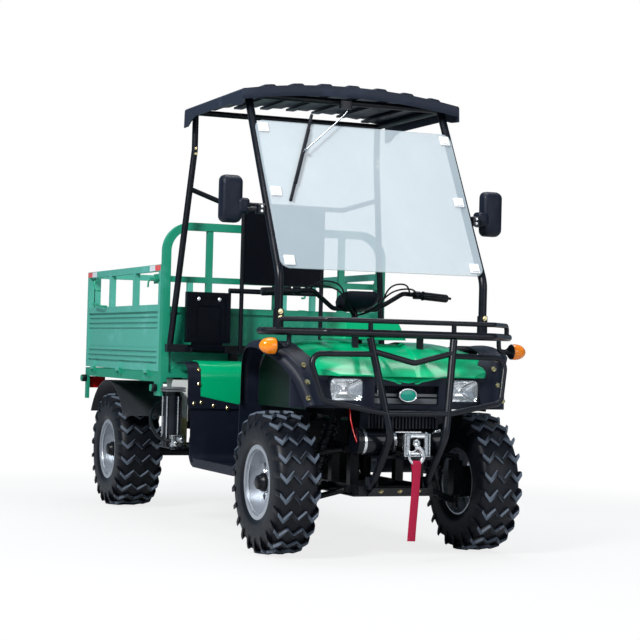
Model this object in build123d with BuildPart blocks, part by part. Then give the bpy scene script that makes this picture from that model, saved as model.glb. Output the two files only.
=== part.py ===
from build123d import *
from math import asin, cos, degrees, radians, sin, sqrt, tan
import os

# Electric utility quad bike with a tipping bed, weather roof, front winch and a fold-up jump seat.
# Millimetres. The vehicle faces -Y, +Z is up and its own left side is +X.
# The origin is on the ground, on the centre plane and midway between the two ends.

# Shared fits
SEAT_GAP = 0.3
PIN_GAP = 0.3

# Wheels
WHEELBASE = 2350
FRONT_AXLE_Y = -1175
REAR_AXLE_Y = FRONT_AXLE_Y + WHEELBASE
FRONT_TRACK = 978
REAR_TRACK = 952
TYRE_RADIUS = 317.5
FRONT_TYRE_WIDTH = 203
REAR_TYRE_WIDTH = 254
BEAD_RADIUS = 153
SIDEWALL_RADIUS = 235
SHOULDER_WIDTH = 30
LUG_COUNT = 34
LUG_HEIGHT = 13
LUG_WIDTH = 22
LUG_STEP = 20
LUG_ROOT = 40
BEAD_INSET = 22
FLANGE_RADIUS = 166
RIM_WALL = 7
RIM_DISH = 56
DISC_THICKNESS = 8
HUB_RADIUS = 44
HUB_LENGTH = 26
RIM_HOLES = 8
RIM_HOLE_R = 15
RIM_HOLE_CIRCLE = 98
SPINDLE_RADIUS = 15
AXLE_Z = TYRE_RADIUS

# Steering and front suspension
KINGPIN_INSET = 89
KINGPIN_X = FRONT_TRACK / 2 - KINGPIN_INSET
KNUCKLE_BOTTOM = 256
KNUCKLE_TOP = 415
KNUCKLE_WIDTH = 44
KNUCKLE_DEPTH = 56
DRUM_RADIUS = 72
ARM_TUBE_R = 13
BALL_BOSS_R = 17
LOWER_BOSS_H = 60
UPPER_BOSS_H = 28
PIVOT_SLEEVE_R = 16
PIVOT_SLEEVE_L = 50
LOWER_ARM_SPREAD = 120
UPPER_ARM_SPREAD = 92
UPPER_PIVOT_Z = 470
SHOCK_PIN_R = 9
SHOCK_EYE_R = 17
SHOCK_EYE_L = 30
SHOCK_SPRING_R = 27
SHOCK_ROD_R = 11
SHOCK_FOOT_X = 330
SHOCK_HEAD_X = 205
SHOCK_HEAD_Z = 642
COLUMN_FOOT = (0, -1010, 650)
COLUMN_HEAD = (0, -880, 1100)
COLUMN_TUBE_R = 24
STEM_R = 15

# Chassis
RAIL_X = 160
RAIL_SIZE = 40
LOWER_RAIL_Z = 295
UPPER_RAIL_Z = 630
LOWER_RAIL_FRONT = -1390
UPPER_RAIL_FRONT = -1290
REAR_RAIL_X = 250
REAR_RAIL_WIDTH = 50
REAR_RAIL_HEIGHT = 60
REAR_RAIL_END = 1520
CHASSIS_BACK_Y = 40
POST_ROWS = (-1270, -1060, -700, -20)
SKID_THICKNESS = 5
SKID_HALF_WIDTH = 205
SKID_NOSE_HALF = 140

# Cargo bed
BED_HALF_WIDTH = 620
BED_FRONT = 120
BED_REAR = 1572
BED_RAIL_WIDTH = 32
BED_RAIL_BOTTOM = 721
BED_RAIL_TOP = 769
BED_FLOOR_TOP = 765
BED_FLOOR_THICKNESS = 6
BED_PIVOT_Y = 1480
BED_PIVOT_Z = 705
BED_RUNNER_X = 190
BED_RUNNER_WIDTH = 36
BED_PIN_R = 10
SIDE_BOTTOM = 775
SIDE_PANEL_TOP = 1116
SIDE_TOP = 1321
SIDE_WALL = 30
SIDE_RAIL = 34
HINGE_OUT = 12
HINGE_DROP = 3
HINGE_PIN_R = 6
HINGE_SLEEVE_R = 11
HINGE_SLEEVE_L = 46
HEAD_TUBE = 40
HEAD_TOP = 1539
HEAD_CORNER_R = 130
HEAD_MID_RAIL = 1247
HEAD_LOW_RAIL = 1092
TAIL_LAMP_DEPTH = 39

# Tilt cylinder, pin to pin
TILT_FOOT = (0, 930, 455)
TILT_HEAD = (0, 1180, 700)
TILT_BARREL_R = 36
TILT_ROD_R = 18
TILT_PIN_R = 12
TILT_EYE_R = 24
TILT_EYE_W = 40
TILT_EAR_GAP = 20

# Cage and roof
A_PILLAR_R = 19
A_FOOT = (506, -1204, 998)
A_KNEE_Z = 1235
A_HEAD = (500, -725, 2088)
B_PILLAR_R = 16
B_FOOT = (589, 75, 915)
B_JOINT = (505, 18, 1898)
ROOF_RAIL_R = 15
ROOF_RAIL_Z = 2088
ROOF_HALF_WIDTH = 560
ROOF_FRONT = -815
ROOF_REAR = 30
ROOF_EDGE_Z = 2101
ROOF_CROWN_Z = 2150
ROOF_SKIRT_Z = 2048
ROOF_WALL = 6
ROOF_LIP = 40
ROOF_RIBS = 7
ROOF_RIB_PITCH = 142
ROOF_RIB_WIDTH = 66
ROOF_RIB_RISE = 10
ROOF_TAB_Z = 2007
ROOF_TAB_LENGTH = 150
REAR_BEAM_Y = 75
REAR_BEAM_Z = 895
REAR_BEAM_SIZE = 40
REAR_BEAM_HALF = 610

# Windscreen
SCREEN_HALF_WIDTH = 503
SCREEN_BOTTOM = (-1215, 1261)
SCREEN_TOP = (-821, 1957)
SCREEN_THICKNESS = 5
SCREEN_CORNER_R = 45

# Front rack and bull bar
RACK_TUBE_R = 16
RACK_Z = 983
RACK_HALF_WIDTH = 600
RACK_FRONT_HALF = 400
RACK_FRONT = -1516
RACK_SHOULDER = -1290
RACK_TOP_R = 11
RACK_TOP_Z = 1036
RACK_FOOT_Y = -1262
RACK_FOOT = 24
POST_R = 14
LOOP_R = 11
POST_END_DROP = 4.5
POST_BASE = (130, LOWER_RAIL_FRONT - 22, 312)
POST_KINK = (130, -1598, 544)
POST_TOP = (201, RACK_FRONT, RACK_Z - RACK_TUBE_R - POST_END_DROP)

# Bodywork
PANEL = 5
SIDE_PANEL_FRONT_Y = -98
SIDE_PANEL_TOP_Z = 836
SEAM_Z = 612
FOOTWELL_INNER = RAIL_X + RAIL_SIZE / 2 + SEAT_GAP
FOOTWELL_OUTER = 528
FOOTWELL_FRONT = -785
FOOTWELL_FLOOR = 330
FOOTWELL_TOP = 652
FOOTWELL_RAKE = 12
FENDER_INNER = 440
FENDER_OUTER = 600
MUDGUARD_RADIUS = 388


def save(builder, label):
    """Name the finished piece and write it to its own file."""
    builder.part.label = label
    export_step(builder.part, f"parts/{label}.step")


def block(x_range, y_range, z_range, mode=Mode.ADD):
    """A rectangular block between two corners, given as a range along each axis."""
    low = (min(x_range), min(y_range), min(z_range))
    high = (max(x_range), max(y_range), max(z_range))
    centre = [(a + b) / 2 for a, b in zip(low, high)]
    with Locations(Location(tuple(centre))):
        Box(*[b - a for a, b in zip(low, high)], mode=mode)


def tube(points, radius, bend=None, mode=Mode.ADD):
    """A round tube: a straight run between two points, or several with a tangent bend at each corner."""
    with BuildLine(mode=Mode.PRIVATE) as run:
        if bend is None:
            Line(*points)
        else:
            FilletPolyline(*points, radius=bend)
    pieces = []
    for edge in run.line.edges():
        with BuildSketch(Plane(origin=edge @ 0, z_dir=edge % 0), mode=Mode.PRIVATE) as section:
            Circle(radius)
        if edge.geom_type == GeomType.LINE:
            pieces.append(extrude(section.sketch, amount=edge.length, mode=Mode.PRIVATE))
        else:
            pieces.append(sweep(sections=section.sketch, path=edge, mode=Mode.PRIVATE))
    add(pieces, mode=mode)


def beam(start, end, width, height, mode=Mode.ADD):
    """A straight rectangular tube; its width lies level and its height stands square to that."""
    along = Vector(*end) - Vector(*start)
    level = Vector(0, 0, 1).cross(along)
    if level.length < 1:
        level = Vector(1, 0, 0)
    plane = Plane(origin=start, x_dir=level, z_dir=along)
    with BuildSketch(plane, mode=Mode.PRIVATE) as section:
        Rectangle(width, height)
    extrude(section.sketch, amount=along.length, mode=mode)


def strip(points, bend, thickness, x_range):
    """A bent sheet: an open path in the side view, thickened to one side and as wide as x_range."""
    with BuildSketch(Plane.YZ.offset(min(x_range)), mode=Mode.PRIVATE) as section:
        with BuildLine():
            FilletPolyline(*points, radius=bend)
            offset(amount=thickness, side=Side.RIGHT)
        make_face()
    extrude(section.sketch, amount=max(x_range) - min(x_range))


def rod_x(centre, radius, length, mode=Mode.ADD):
    """A cylinder lying across the vehicle, centred on a point."""
    with Locations(Location(tuple(centre), (0, 90, 0))):
        Cylinder(radius, length, mode=mode)


def rod_y(centre, radius, length, mode=Mode.ADD):
    """A cylinder lying along the vehicle, centred on a point."""
    with Locations(Location(tuple(centre), (90, 0, 0))):
        Cylinder(radius, length, mode=mode)


def rod_z(centre, radius, length, mode=Mode.ADD):
    """An upright cylinder centred on a point."""
    with Locations(Location(tuple(centre))):
        Cylinder(radius, length, mode=mode)


def mirrored(point, side):
    """The same point on the left (side 1) or on the right (side -1)."""
    return (side * point[0], point[1], point[2])


def between(a, b, share):
    """The point a given share of the way from a to b."""
    return tuple(p + (q - p) * share for p, q in zip(a, b))


# Wheels: tyre and rim of each, turned about the axle
# name, side, axle y, track, tyre width
WHEELS = (
    ("fl", 1, FRONT_AXLE_Y, FRONT_TRACK, FRONT_TYRE_WIDTH),
    ("fr", -1, FRONT_AXLE_Y, FRONT_TRACK, FRONT_TYRE_WIDTH),
    ("rl", 1, REAR_AXLE_Y, REAR_TRACK, REAR_TYRE_WIDTH),
    ("rr", -1, REAR_AXLE_Y, REAR_TRACK, REAR_TYRE_WIDTH),
)


def disc_back(width):
    """How far outboard of the tyre's centre plane the inner face of the wheel disc lies."""
    return width / 2 - BEAD_INSET - RIM_DISH - DISC_THICKNESS


def tyre_slice(half, lug_side):
    """One flat-sided slice of a tyre at the top of the wheel, with its kinked tread bar.

    The axle lies along X. The bar starts at the shoulder on lug_side and just passes the centre plane.
    """
    carcass = TYRE_RADIUS - LUG_HEIGHT
    rim_half = half - BEAD_INSET
    edge = (LUG_STEP + LUG_WIDTH) / 2
    inner_edge = edge - LUG_WIDTH
    lug_top = sqrt(TYRE_RADIUS**2 - edge**2)
    with BuildPart() as piece:
        with BuildSketch(Plane.XZ):
            with BuildLine():
                Polyline(
                    (-rim_half, BEAD_RADIUS),
                    (-half, SIDEWALL_RADIUS),
                    (-half + SHOULDER_WIDTH, carcass),
                    (half - SHOULDER_WIDTH, carcass),
                    (half, SIDEWALL_RADIUS),
                    (rim_half, BEAD_RADIUS),
                    close=True,
                )
            make_face()
        extrude(amount=TYRE_RADIUS / 4, both=True)
        shoulder = lug_side * (half - SHOULDER_WIDTH / 5)
        knee = lug_side * half / 2
        tip = -lug_side * half / 8
        with BuildSketch(Plane.XY.offset(carcass - LUG_ROOT)):
            with BuildLine():
                Polyline(
                    (shoulder, edge),
                    (knee, edge),
                    (tip, -inner_edge),
                    (tip, -edge),
                    (knee, inner_edge),
                    (shoulder, inner_edge),
                    close=True,
                )
            make_face()
        extrude(amount=lug_top - carcass + LUG_ROOT)
        reach = 2 * TYRE_RADIUS
        wide = reach * tan(radians(180 / LUG_COUNT))
        with BuildSketch(Plane.YZ.offset(-2 * half)):
            with BuildLine():
                Polyline((0, 0), (wide, reach), (-wide, reach), close=True)
            make_face()
        extrude(amount=4 * half, mode=Mode.INTERSECT)
    return piece.part


# The bars are turned so that the outer edge of one stands on the ground
lug_pitch = 360 / LUG_COUNT
lug_phase = degrees(asin((LUG_STEP + LUG_WIDTH) / 2 / TYRE_RADIUS))
for name, side, axle_y, track, width in WHEELS:
    centre = (side * track / 2, axle_y, AXLE_Z)
    wheel_plane = Plane(origin=centre, x_dir=(side, 0, 0), z_dir=(0, -side, 0))
    axle = Axis(centre, (1, 0, 0))
    half = width / 2
    rim_half = half - BEAD_INSET
    slices = (tyre_slice(half, side), tyre_slice(half, -side))
    with BuildPart() as tyre:
        turned = [slices[n % 2].rotate(Axis.X, lug_phase + n * lug_pitch) for n in range(LUG_COUNT)]
        add([piece.moved(Location(centre)) for piece in turned])
    save(tyre, f"tyre_{name}")

    seat_radius = BEAD_RADIUS - SEAT_GAP
    barrel_radius = seat_radius - RIM_WALL
    disc_out = rim_half - RIM_DISH
    disc_in = disc_back(width)
    with BuildPart() as rim:
        with BuildSketch(wheel_plane):
            with BuildLine():
                Polyline(
                    (-rim_half, seat_radius),
                    (rim_half + SEAT_GAP, seat_radius),
                    (rim_half + RIM_WALL, FLANGE_RADIUS),
                    (rim_half + RIM_WALL, barrel_radius),
                    (disc_out, barrel_radius),
                    (disc_out, HUB_RADIUS),
                    (disc_out + HUB_LENGTH, HUB_RADIUS),
                    (disc_out + HUB_LENGTH, SPINDLE_RADIUS),
                    (disc_in, SPINDLE_RADIUS),
                    (disc_in, barrel_radius),
                    (-rim_half, barrel_radius),
                    close=True,
                )
            make_face()
        revolve(axis=axle)
        disc_x = centre[0] + side * (disc_out + disc_in) / 2
        for n in range(RIM_HOLES):
            turn = radians(360 * n / RIM_HOLES)
            hole_y = centre[1] + RIM_HOLE_CIRCLE * cos(turn)
            hole_z = centre[2] + RIM_HOLE_CIRCLE * sin(turn)
            rod_x((disc_x, hole_y, hole_z), RIM_HOLE_R, DISC_THICKNESS * 3, mode=Mode.SUBTRACT)
    save(rim, f"rim_{name}")

# Steering knuckles with brake drum and stub axle
drum_face = FRONT_TRACK / 2 + disc_back(FRONT_TYRE_WIDTH) - SEAT_GAP
stub_end = FRONT_TRACK / 2 + FRONT_TYRE_WIDTH / 2 - BEAD_INSET - RIM_DISH + HUB_LENGTH
for name, side in (("left", 1), ("right", -1)):
    upright_out = KINGPIN_X + KNUCKLE_WIDTH / 2
    with BuildPart() as knuckle:
        block(
            (side * (KINGPIN_X - KNUCKLE_WIDTH / 2), side * upright_out),
            (FRONT_AXLE_Y - KNUCKLE_DEPTH / 2, FRONT_AXLE_Y + KNUCKLE_DEPTH / 2),
            (KNUCKLE_BOTTOM, KNUCKLE_TOP),
        )
        drum_length = drum_face - upright_out
        rod_x((side * (drum_face - drum_length / 2), FRONT_AXLE_Y, AXLE_Z), DRUM_RADIUS, drum_length)
        stub_length = stub_end - upright_out
        stub_x = side * (upright_out + stub_length / 2)
        rod_x((stub_x, FRONT_AXLE_Y, AXLE_Z), SPINDLE_RADIUS - PIN_GAP, stub_length)
    save(knuckle, f"knuckle_{name}")

# Front suspension arms, two to a side
lower_ball_z = KNUCKLE_BOTTOM - SEAT_GAP - LOWER_BOSS_H / 2
upper_ball_z = KNUCKLE_TOP + SEAT_GAP + UPPER_BOSS_H / 2
pivot_x = RAIL_X + RAIL_SIZE / 2 + SEAT_GAP + PIVOT_SLEEVE_R
shock_foot_share = (KINGPIN_X - SHOCK_FOOT_X) / (KINGPIN_X - pivot_x)
shock_foot_z = lower_ball_z + (LOWER_RAIL_Z - lower_ball_z) * shock_foot_share
# ball height, boss length, pivot height, half spread of the two legs, shock pin
ARMS = (
    (lower_ball_z, LOWER_BOSS_H, LOWER_RAIL_Z, LOWER_ARM_SPREAD, True),
    (upper_ball_z, UPPER_BOSS_H, UPPER_PIVOT_Z, UPPER_ARM_SPREAD, False),
)
with BuildPart() as front_arms:
    for side in (1, -1):
        for ball_z, boss_h, pivot_z, spread, shock_pin in ARMS:
            ball = (side * KINGPIN_X, FRONT_AXLE_Y, ball_z)
            rod_z(ball, BALL_BOSS_R, boss_h)
            for end in (-1, 1):
                pivot = (side * pivot_x, FRONT_AXLE_Y + end * spread, pivot_z)
                tube((ball, pivot), ARM_TUBE_R)
                rod_y(pivot, PIVOT_SLEEVE_R, PIVOT_SLEEVE_L)
            if shock_pin:
                pin_length = 2 * spread * shock_foot_share
                rod_y((side * SHOCK_FOOT_X, FRONT_AXLE_Y, shock_foot_z), SHOCK_PIN_R, pin_length)
save(front_arms, "front_arms")

with BuildPart() as front_shocks:
    for side in (1, -1):
        foot = (side * SHOCK_FOOT_X, FRONT_AXLE_Y, shock_foot_z)
        head = (side * SHOCK_HEAD_X, FRONT_AXLE_Y, SHOCK_HEAD_Z)
        tube((foot, head), SHOCK_ROD_R)
        tube((between(foot, head, 0.2), between(foot, head, 0.82)), SHOCK_SPRING_R)
        for eye in (foot, head):
            rod_y(eye, SHOCK_EYE_R, SHOCK_EYE_L)
        for eye in (foot, head):
            rod_y(eye, SHOCK_PIN_R + PIN_GAP, SHOCK_EYE_L * 2, mode=Mode.SUBTRACT)
save(front_shocks, "front_shocks")

# Chassis: lower and upper cradle rails, posts, rear rails, crossmembers and brackets
SPRING_HALF = 345
SPRING_EYE_Z = 470
SPRING_EYE_R = 20
SPRING_PIN_R = 9
SPRING_WIDTH = 44
SPRING_THICKNESS = 32
AXLE_TUBE_R = 38
HANGER_WALL = 8

# The frame is a weldment: each rail, post, crossmember and bracket is a member of its own
with BuildPart() as chassis_frame:
    rail_half = RAIL_SIZE / 2
    lower_z = (LOWER_RAIL_Z - rail_half, LOWER_RAIL_Z + rail_half)
    upper_z = (UPPER_RAIL_Z - rail_half, UPPER_RAIL_Z + rail_half)
    rear_rail_z = (UPPER_RAIL_Z - REAR_RAIL_HEIGHT / 2, UPPER_RAIL_Z + REAR_RAIL_HEIGHT / 2)
    post_z = (lower_z[1] + SEAT_GAP, upper_z[0] - SEAT_GAP)
    for side in (1, -1):
        rail_x = (side * RAIL_X - rail_half, side * RAIL_X + rail_half)
        block(rail_x, (LOWER_RAIL_FRONT, 0), lower_z)
        block(rail_x, (UPPER_RAIL_FRONT, CHASSIS_BACK_Y - rail_half - SEAT_GAP), upper_z)
        for y in POST_ROWS:
            block(rail_x, (y - rail_half, y + rail_half), post_z)
        # Upper arm pivots sit on a short stand between the front posts
        stand_y = (POST_ROWS[0] + rail_half + SEAT_GAP, POST_ROWS[1] - rail_half - SEAT_GAP)
        block(rail_x, stand_y, (UPPER_PIVOT_Z - rail_half, UPPER_PIVOT_Z + rail_half))
        # Shock tower: two plates and a pin on the outer face of the upper rail
        tower_x = (side * (RAIL_X + rail_half + SEAT_GAP), side * (SHOCK_HEAD_X + SHOCK_EYE_R))
        for end in (-1, 1):
            plate_y = FRONT_AXLE_Y + end * (SHOCK_EYE_L / 2 + SEAT_GAP + HANGER_WALL / 2)
            plate_range = (plate_y - HANGER_WALL / 2, plate_y + HANGER_WALL / 2)
            block(tower_x, plate_range, (upper_z[0], SHOCK_HEAD_Z + SHOCK_EYE_R))
        tower_pin_length = SHOCK_EYE_L + HANGER_WALL * 2
        rod_y((side * SHOCK_HEAD_X, FRONT_AXLE_Y, SHOCK_HEAD_Z), SHOCK_PIN_R, tower_pin_length)
        # Rear rail with the post of the rear beam, the spring hangers and the ear of the bed pivot
        rear_x = side * REAR_RAIL_X
        rear_half = REAR_RAIL_WIDTH / 2
        block((rear_x - rear_half, rear_x + rear_half), (CHASSIS_BACK_Y - rear_half, REAR_RAIL_END), rear_rail_z)
        beam_post_z = (rear_rail_z[1] + SEAT_GAP, REAR_BEAM_Z - REAR_BEAM_SIZE / 2 - SEAT_GAP)
        beam_post_y = (REAR_BEAM_Y - rail_half, REAR_BEAM_Y + rail_half)
        block((rear_x - rail_half, rear_x + rail_half), beam_post_y, beam_post_z)
        for end in (-1, 1):
            eye_y = REAR_AXLE_Y + end * SPRING_HALF
            for ear in (-1, 1):
                ear_x = rear_x + ear * (SPRING_WIDTH / 2 + SEAT_GAP + HANGER_WALL / 2)
                ear_x_range = (ear_x - HANGER_WALL / 2, ear_x + HANGER_WALL / 2)
                eye_range = (eye_y - SPRING_EYE_R, eye_y + SPRING_EYE_R)
                block(ear_x_range, eye_range, (SPRING_EYE_Z - SPRING_EYE_R, rear_rail_z[0] - SEAT_GAP))
            rod_x((rear_x, eye_y, SPRING_EYE_Z), SPRING_PIN_R, SPRING_WIDTH + HANGER_WALL * 2)
        ear_x = (side * (REAR_RAIL_X - rear_half), rear_x)
        ear_z = (rear_rail_z[1] + SEAT_GAP, BED_PIVOT_Z + HINGE_SLEEVE_R * 2)
        block(ear_x, (BED_PIVOT_Y - RAIL_SIZE, REAR_RAIL_END), ear_z)
        ear_mid = (side * (REAR_RAIL_X - rear_half / 2), BED_PIVOT_Y, BED_PIVOT_Z)
        rod_x(ear_mid, BED_PIN_R + PIN_GAP, REAR_RAIL_WIDTH, mode=Mode.SUBTRACT)
    cradle_half = RAIL_X - rail_half - SEAT_GAP
    ladder_half = REAR_RAIL_X - rear_half - SEAT_GAP
    # y, height range, half length of each crossmember
    for y, z_range, half_length in (
        (LOWER_RAIL_FRONT + rail_half, lower_z, cradle_half),
        (POST_ROWS[1], lower_z, cradle_half),
        (POST_ROWS[2], lower_z, cradle_half),
        (POST_ROWS[3], lower_z, cradle_half),
        (UPPER_RAIL_FRONT + rail_half, upper_z, cradle_half),
        (COLUMN_FOOT[1], upper_z, cradle_half),
        (CHASSIS_BACK_Y, upper_z, ladder_half),
        (TILT_FOOT[1], upper_z, ladder_half),
        (BED_PIVOT_Y - 2 * RAIL_SIZE, upper_z, ladder_half),
    ):
        block((-half_length, half_length), (y - rail_half, y + rail_half), z_range)
    # Steering column tube on its crossmember, and the ears of the tilt cylinder under theirs
    tube((COLUMN_FOOT, between(COLUMN_FOOT, COLUMN_HEAD, 0.86)), COLUMN_TUBE_R)
    tube((between(COLUMN_FOOT, COLUMN_HEAD, 0.1), COLUMN_HEAD), STEM_R + PIN_GAP, mode=Mode.SUBTRACT)
    for ear in (-1, 1):
        ear_x = ear * (TILT_EYE_W / 2 + SEAT_GAP + HANGER_WALL / 2)
        ear_x_range = (ear_x - HANGER_WALL / 2, ear_x + HANGER_WALL / 2)
        ear_y_range = (TILT_FOOT[1] - TILT_EYE_R, TILT_FOOT[1] + TILT_EYE_R)
        block(ear_x_range, ear_y_range, (TILT_FOOT[2] - TILT_EYE_R, UPPER_RAIL_Z))
    rod_x(TILT_FOOT, TILT_PIN_R, TILT_EYE_W + HANGER_WALL * 2)
save(chassis_frame, "chassis_frame")

# Rear axle: tube, gear case, drive motor, drums and stub axles
GEAR_CASE_R = 105
GEAR_CASE_L = 150
MOTOR_R = 92
MOTOR_L = 210
rear_drum_face = REAR_TRACK / 2 + disc_back(REAR_TYRE_WIDTH) - SEAT_GAP
rear_stub_end = REAR_TRACK / 2 + REAR_TYRE_WIDTH / 2 - BEAD_INSET - RIM_DISH + HUB_LENGTH
REAR_DRUM_L = 90
with BuildPart() as rear_axle:
    axle_centre = (0, REAR_AXLE_Y, AXLE_Z)
    rod_x(axle_centre, AXLE_TUBE_R, 2 * rear_drum_face)
    rod_x(axle_centre, GEAR_CASE_R, GEAR_CASE_L)
    rod_y((0, REAR_AXLE_Y - GEAR_CASE_R / 2 - MOTOR_L / 2, AXLE_Z), MOTOR_R, MOTOR_L)
    rod_x(axle_centre, SPINDLE_RADIUS - PIN_GAP, 2 * rear_stub_end)
    for side in (1, -1):
        drum_x = side * (rear_drum_face - REAR_DRUM_L / 2)
        rod_x((drum_x, REAR_AXLE_Y, AXLE_Z), DRUM_RADIUS, REAR_DRUM_L)
save(rear_axle, "rear_axle")

with BuildPart() as rear_springs:
    pad_z = AXLE_Z + AXLE_TUBE_R + SEAT_GAP
    for side in (1, -1):
        with BuildSketch(Plane.YZ.offset(side * REAR_RAIL_X - SPRING_WIDTH / 2)):
            with BuildLine():
                leaf = ThreePointArc(
                    (REAR_AXLE_Y - SPRING_HALF, SPRING_EYE_Z),
                    (REAR_AXLE_Y, pad_z + SPRING_THICKNESS),
                    (REAR_AXLE_Y + SPRING_HALF, SPRING_EYE_Z),
                )
                Polyline(
                    leaf @ 1,
                    (REAR_AXLE_Y + SPRING_HALF, SPRING_EYE_Z - SPRING_THICKNESS / 3),
                    (REAR_AXLE_Y + SPRING_HALF / 4, pad_z),
                    (REAR_AXLE_Y - SPRING_HALF / 4, pad_z),
                    (REAR_AXLE_Y - SPRING_HALF, SPRING_EYE_Z - SPRING_THICKNESS / 3),
                    leaf @ 0,
                )
            make_face()
        extrude(amount=SPRING_WIDTH)
        for end in (-1, 1):
            eye = (side * REAR_RAIL_X, REAR_AXLE_Y + end * SPRING_HALF, SPRING_EYE_Z)
            rod_x(eye, SPRING_EYE_R, SPRING_WIDTH)
            rod_x(eye, SPRING_PIN_R + PIN_GAP, SPRING_WIDTH * 2, mode=Mode.SUBTRACT)
save(rear_springs, "rear_springs")

# Battery pack between the cradle rails
BATTERY_Y = (-690, -30)
BATTERY_HEIGHT = 255
battery_half = RAIL_X - RAIL_SIZE / 2 - 5
with BuildPart() as battery_pack:
    battery_z = LOWER_RAIL_Z + RAIL_SIZE / 2 + SEAT_GAP
    block((-battery_half, battery_half), BATTERY_Y, (battery_z, battery_z + BATTERY_HEIGHT))
save(battery_pack, "battery_pack")

with BuildPart() as skid_plate:
    skid_top = LOWER_RAIL_Z - RAIL_SIZE / 2 - SEAT_GAP
    skid_x = (-SKID_HALF_WIDTH, SKID_HALF_WIDTH)
    block(skid_x, (LOWER_RAIL_FRONT, POST_ROWS[2]), (skid_top - SKID_THICKNESS, skid_top))
    with BuildSketch(Plane.YZ.offset(-SKID_NOSE_HALF)):
        with BuildLine():
            Polyline(
                (LOWER_RAIL_FRONT, skid_top),
                (LOWER_RAIL_FRONT - 60, skid_top + 36),
                (LOWER_RAIL_FRONT - 66, skid_top + 36),
                (LOWER_RAIL_FRONT, skid_top - SKID_THICKNESS),
                close=True,
            )
        make_face()
    extrude(amount=2 * SKID_NOSE_HALF)
save(skid_plate, "skid_plate")

# Footwells: one bent tub to a side with a sill along its open edge
SILL_WIDTH = 18
SILL_BOTTOM = 310
SILL_TOP = 353
for name, side in (("left", 1), ("right", -1)):
    with BuildPart() as footwell:
        tub_x = (side * FOOTWELL_INNER, side * FOOTWELL_OUTER)
        strip(
            (
                (FOOTWELL_FRONT - FOOTWELL_RAKE, FOOTWELL_TOP),
                (FOOTWELL_FRONT, FOOTWELL_FLOOR),
                (SIDE_PANEL_FRONT_Y, FOOTWELL_FLOOR),
                (SIDE_PANEL_FRONT_Y, SEAM_Z),
            ),
            50,
            PANEL,
            tub_x,
        )
        sill_x = (side * (FOOTWELL_OUTER - SILL_WIDTH), side * FOOTWELL_OUTER)
        block(sill_x, (FOOTWELL_FRONT + 50, SIDE_PANEL_FRONT_Y - 50), (SILL_BOTTOM, SILL_TOP))
    save(footwell, f"footwell_{name}")

# Green side panels over the rear wheels' front edge, and the black flares outboard of them
COVER_X = (205, 478)
FLARE_X = (478 + SEAT_GAP, 545)
COVER_BEND = 90
COVER_BACK = 40
FLARE_BACK = 100
with BuildPart() as side_covers:
    for side in (1, -1):
        strip(
            (
                (SIDE_PANEL_FRONT_Y, SEAM_Z + SEAT_GAP),
                (SIDE_PANEL_FRONT_Y, SIDE_PANEL_TOP_Z),
                (COVER_BACK, SIDE_PANEL_TOP_Z),
            ),
            COVER_BEND,
            PANEL,
            (side * COVER_X[0], side * COVER_X[1]),
        )
save(side_covers, "side_covers")

with BuildPart() as rear_flares:
    for side in (1, -1):
        strip(
            (
                (SIDE_PANEL_FRONT_Y, SEAM_Z + SEAT_GAP),
                (SIDE_PANEL_FRONT_Y, SIDE_PANEL_TOP_Z),
                (FLARE_BACK, SIDE_PANEL_TOP_Z - 14),
            ),
            COVER_BEND,
            PANEL,
            (side * FLARE_X[0], side * FLARE_X[1]),
        )
save(rear_flares, "rear_flares")

# Front fenders: an arched sheet, narrower towards the nose, with the dark liner inside it
FENDER_BEND = 60
FENDER_PATH = (
    (FOOTWELL_FRONT - FOOTWELL_RAKE - PANEL, FOOTWELL_TOP + SEAT_GAP),
    (FOOTWELL_FRONT - 22, 860),
    (-960, 936),
    (-1270, 936),
    (-1420, 820),
    (-1492, 668),
)
with BuildPart() as front_fenders:
    for side in (1, -1):
        strip(FENDER_PATH, FENDER_BEND, PANEL, (side * FENDER_INNER, side * FENDER_OUTER))
        with BuildSketch(Plane.XY):
            with BuildLine():
                Polyline(
                    (side * 470, -1500),
                    (side * FENDER_OUTER, -1290),
                    (side * FENDER_OUTER, -1100),
                    (side * 530, -780),
                    (side * 700, -780),
                    (side * 700, -1500),
                    close=True,
                )
            make_face()
        extrude(amount=1000, mode=Mode.SUBTRACT)
save(front_fenders, "front_fenders")

# Arch liners: the upright inner wall of each wheel arch, hung from the upper rail by a bracket
LINER_BRACKET_Y = (-1130, -1100)
LINER_BOTTOM = 646
LINER_TOP = 905
LINER_Y = (-1385, -815)
LINER_CORNER = 95
LINER_WALL = 3
with BuildPart() as arch_liners:
    liner_out = FENDER_INNER - SEAT_GAP
    for side in (1, -1):
        with BuildSketch(Plane.YZ.offset(min(side * liner_out, side * (liner_out - LINER_WALL)))):
            with BuildLine():
                Polyline(
                    (LINER_Y[0], LINER_BOTTOM),
                    (LINER_Y[0], LINER_BOTTOM + LINER_CORNER),
                    (LINER_Y[0] + LINER_CORNER, LINER_TOP),
                    (LINER_Y[1] - LINER_CORNER, LINER_TOP),
                    (LINER_Y[1], LINER_TOP - LINER_CORNER),
                    (LINER_Y[1], LINER_BOTTOM),
                    close=True,
                )
            make_face()
        extrude(amount=LINER_WALL)
        bracket_z = (UPPER_RAIL_Z + RAIL_SIZE / 2 + SEAT_GAP, UPPER_RAIL_Z + RAIL_SIZE / 2 + SEAT_GAP + PANEL)
        block((side * (RAIL_X - RAIL_SIZE / 4), side * (liner_out - LINER_WALL / 2)), LINER_BRACKET_Y, bracket_z)
save(arch_liners, "arch_liners")

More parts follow.
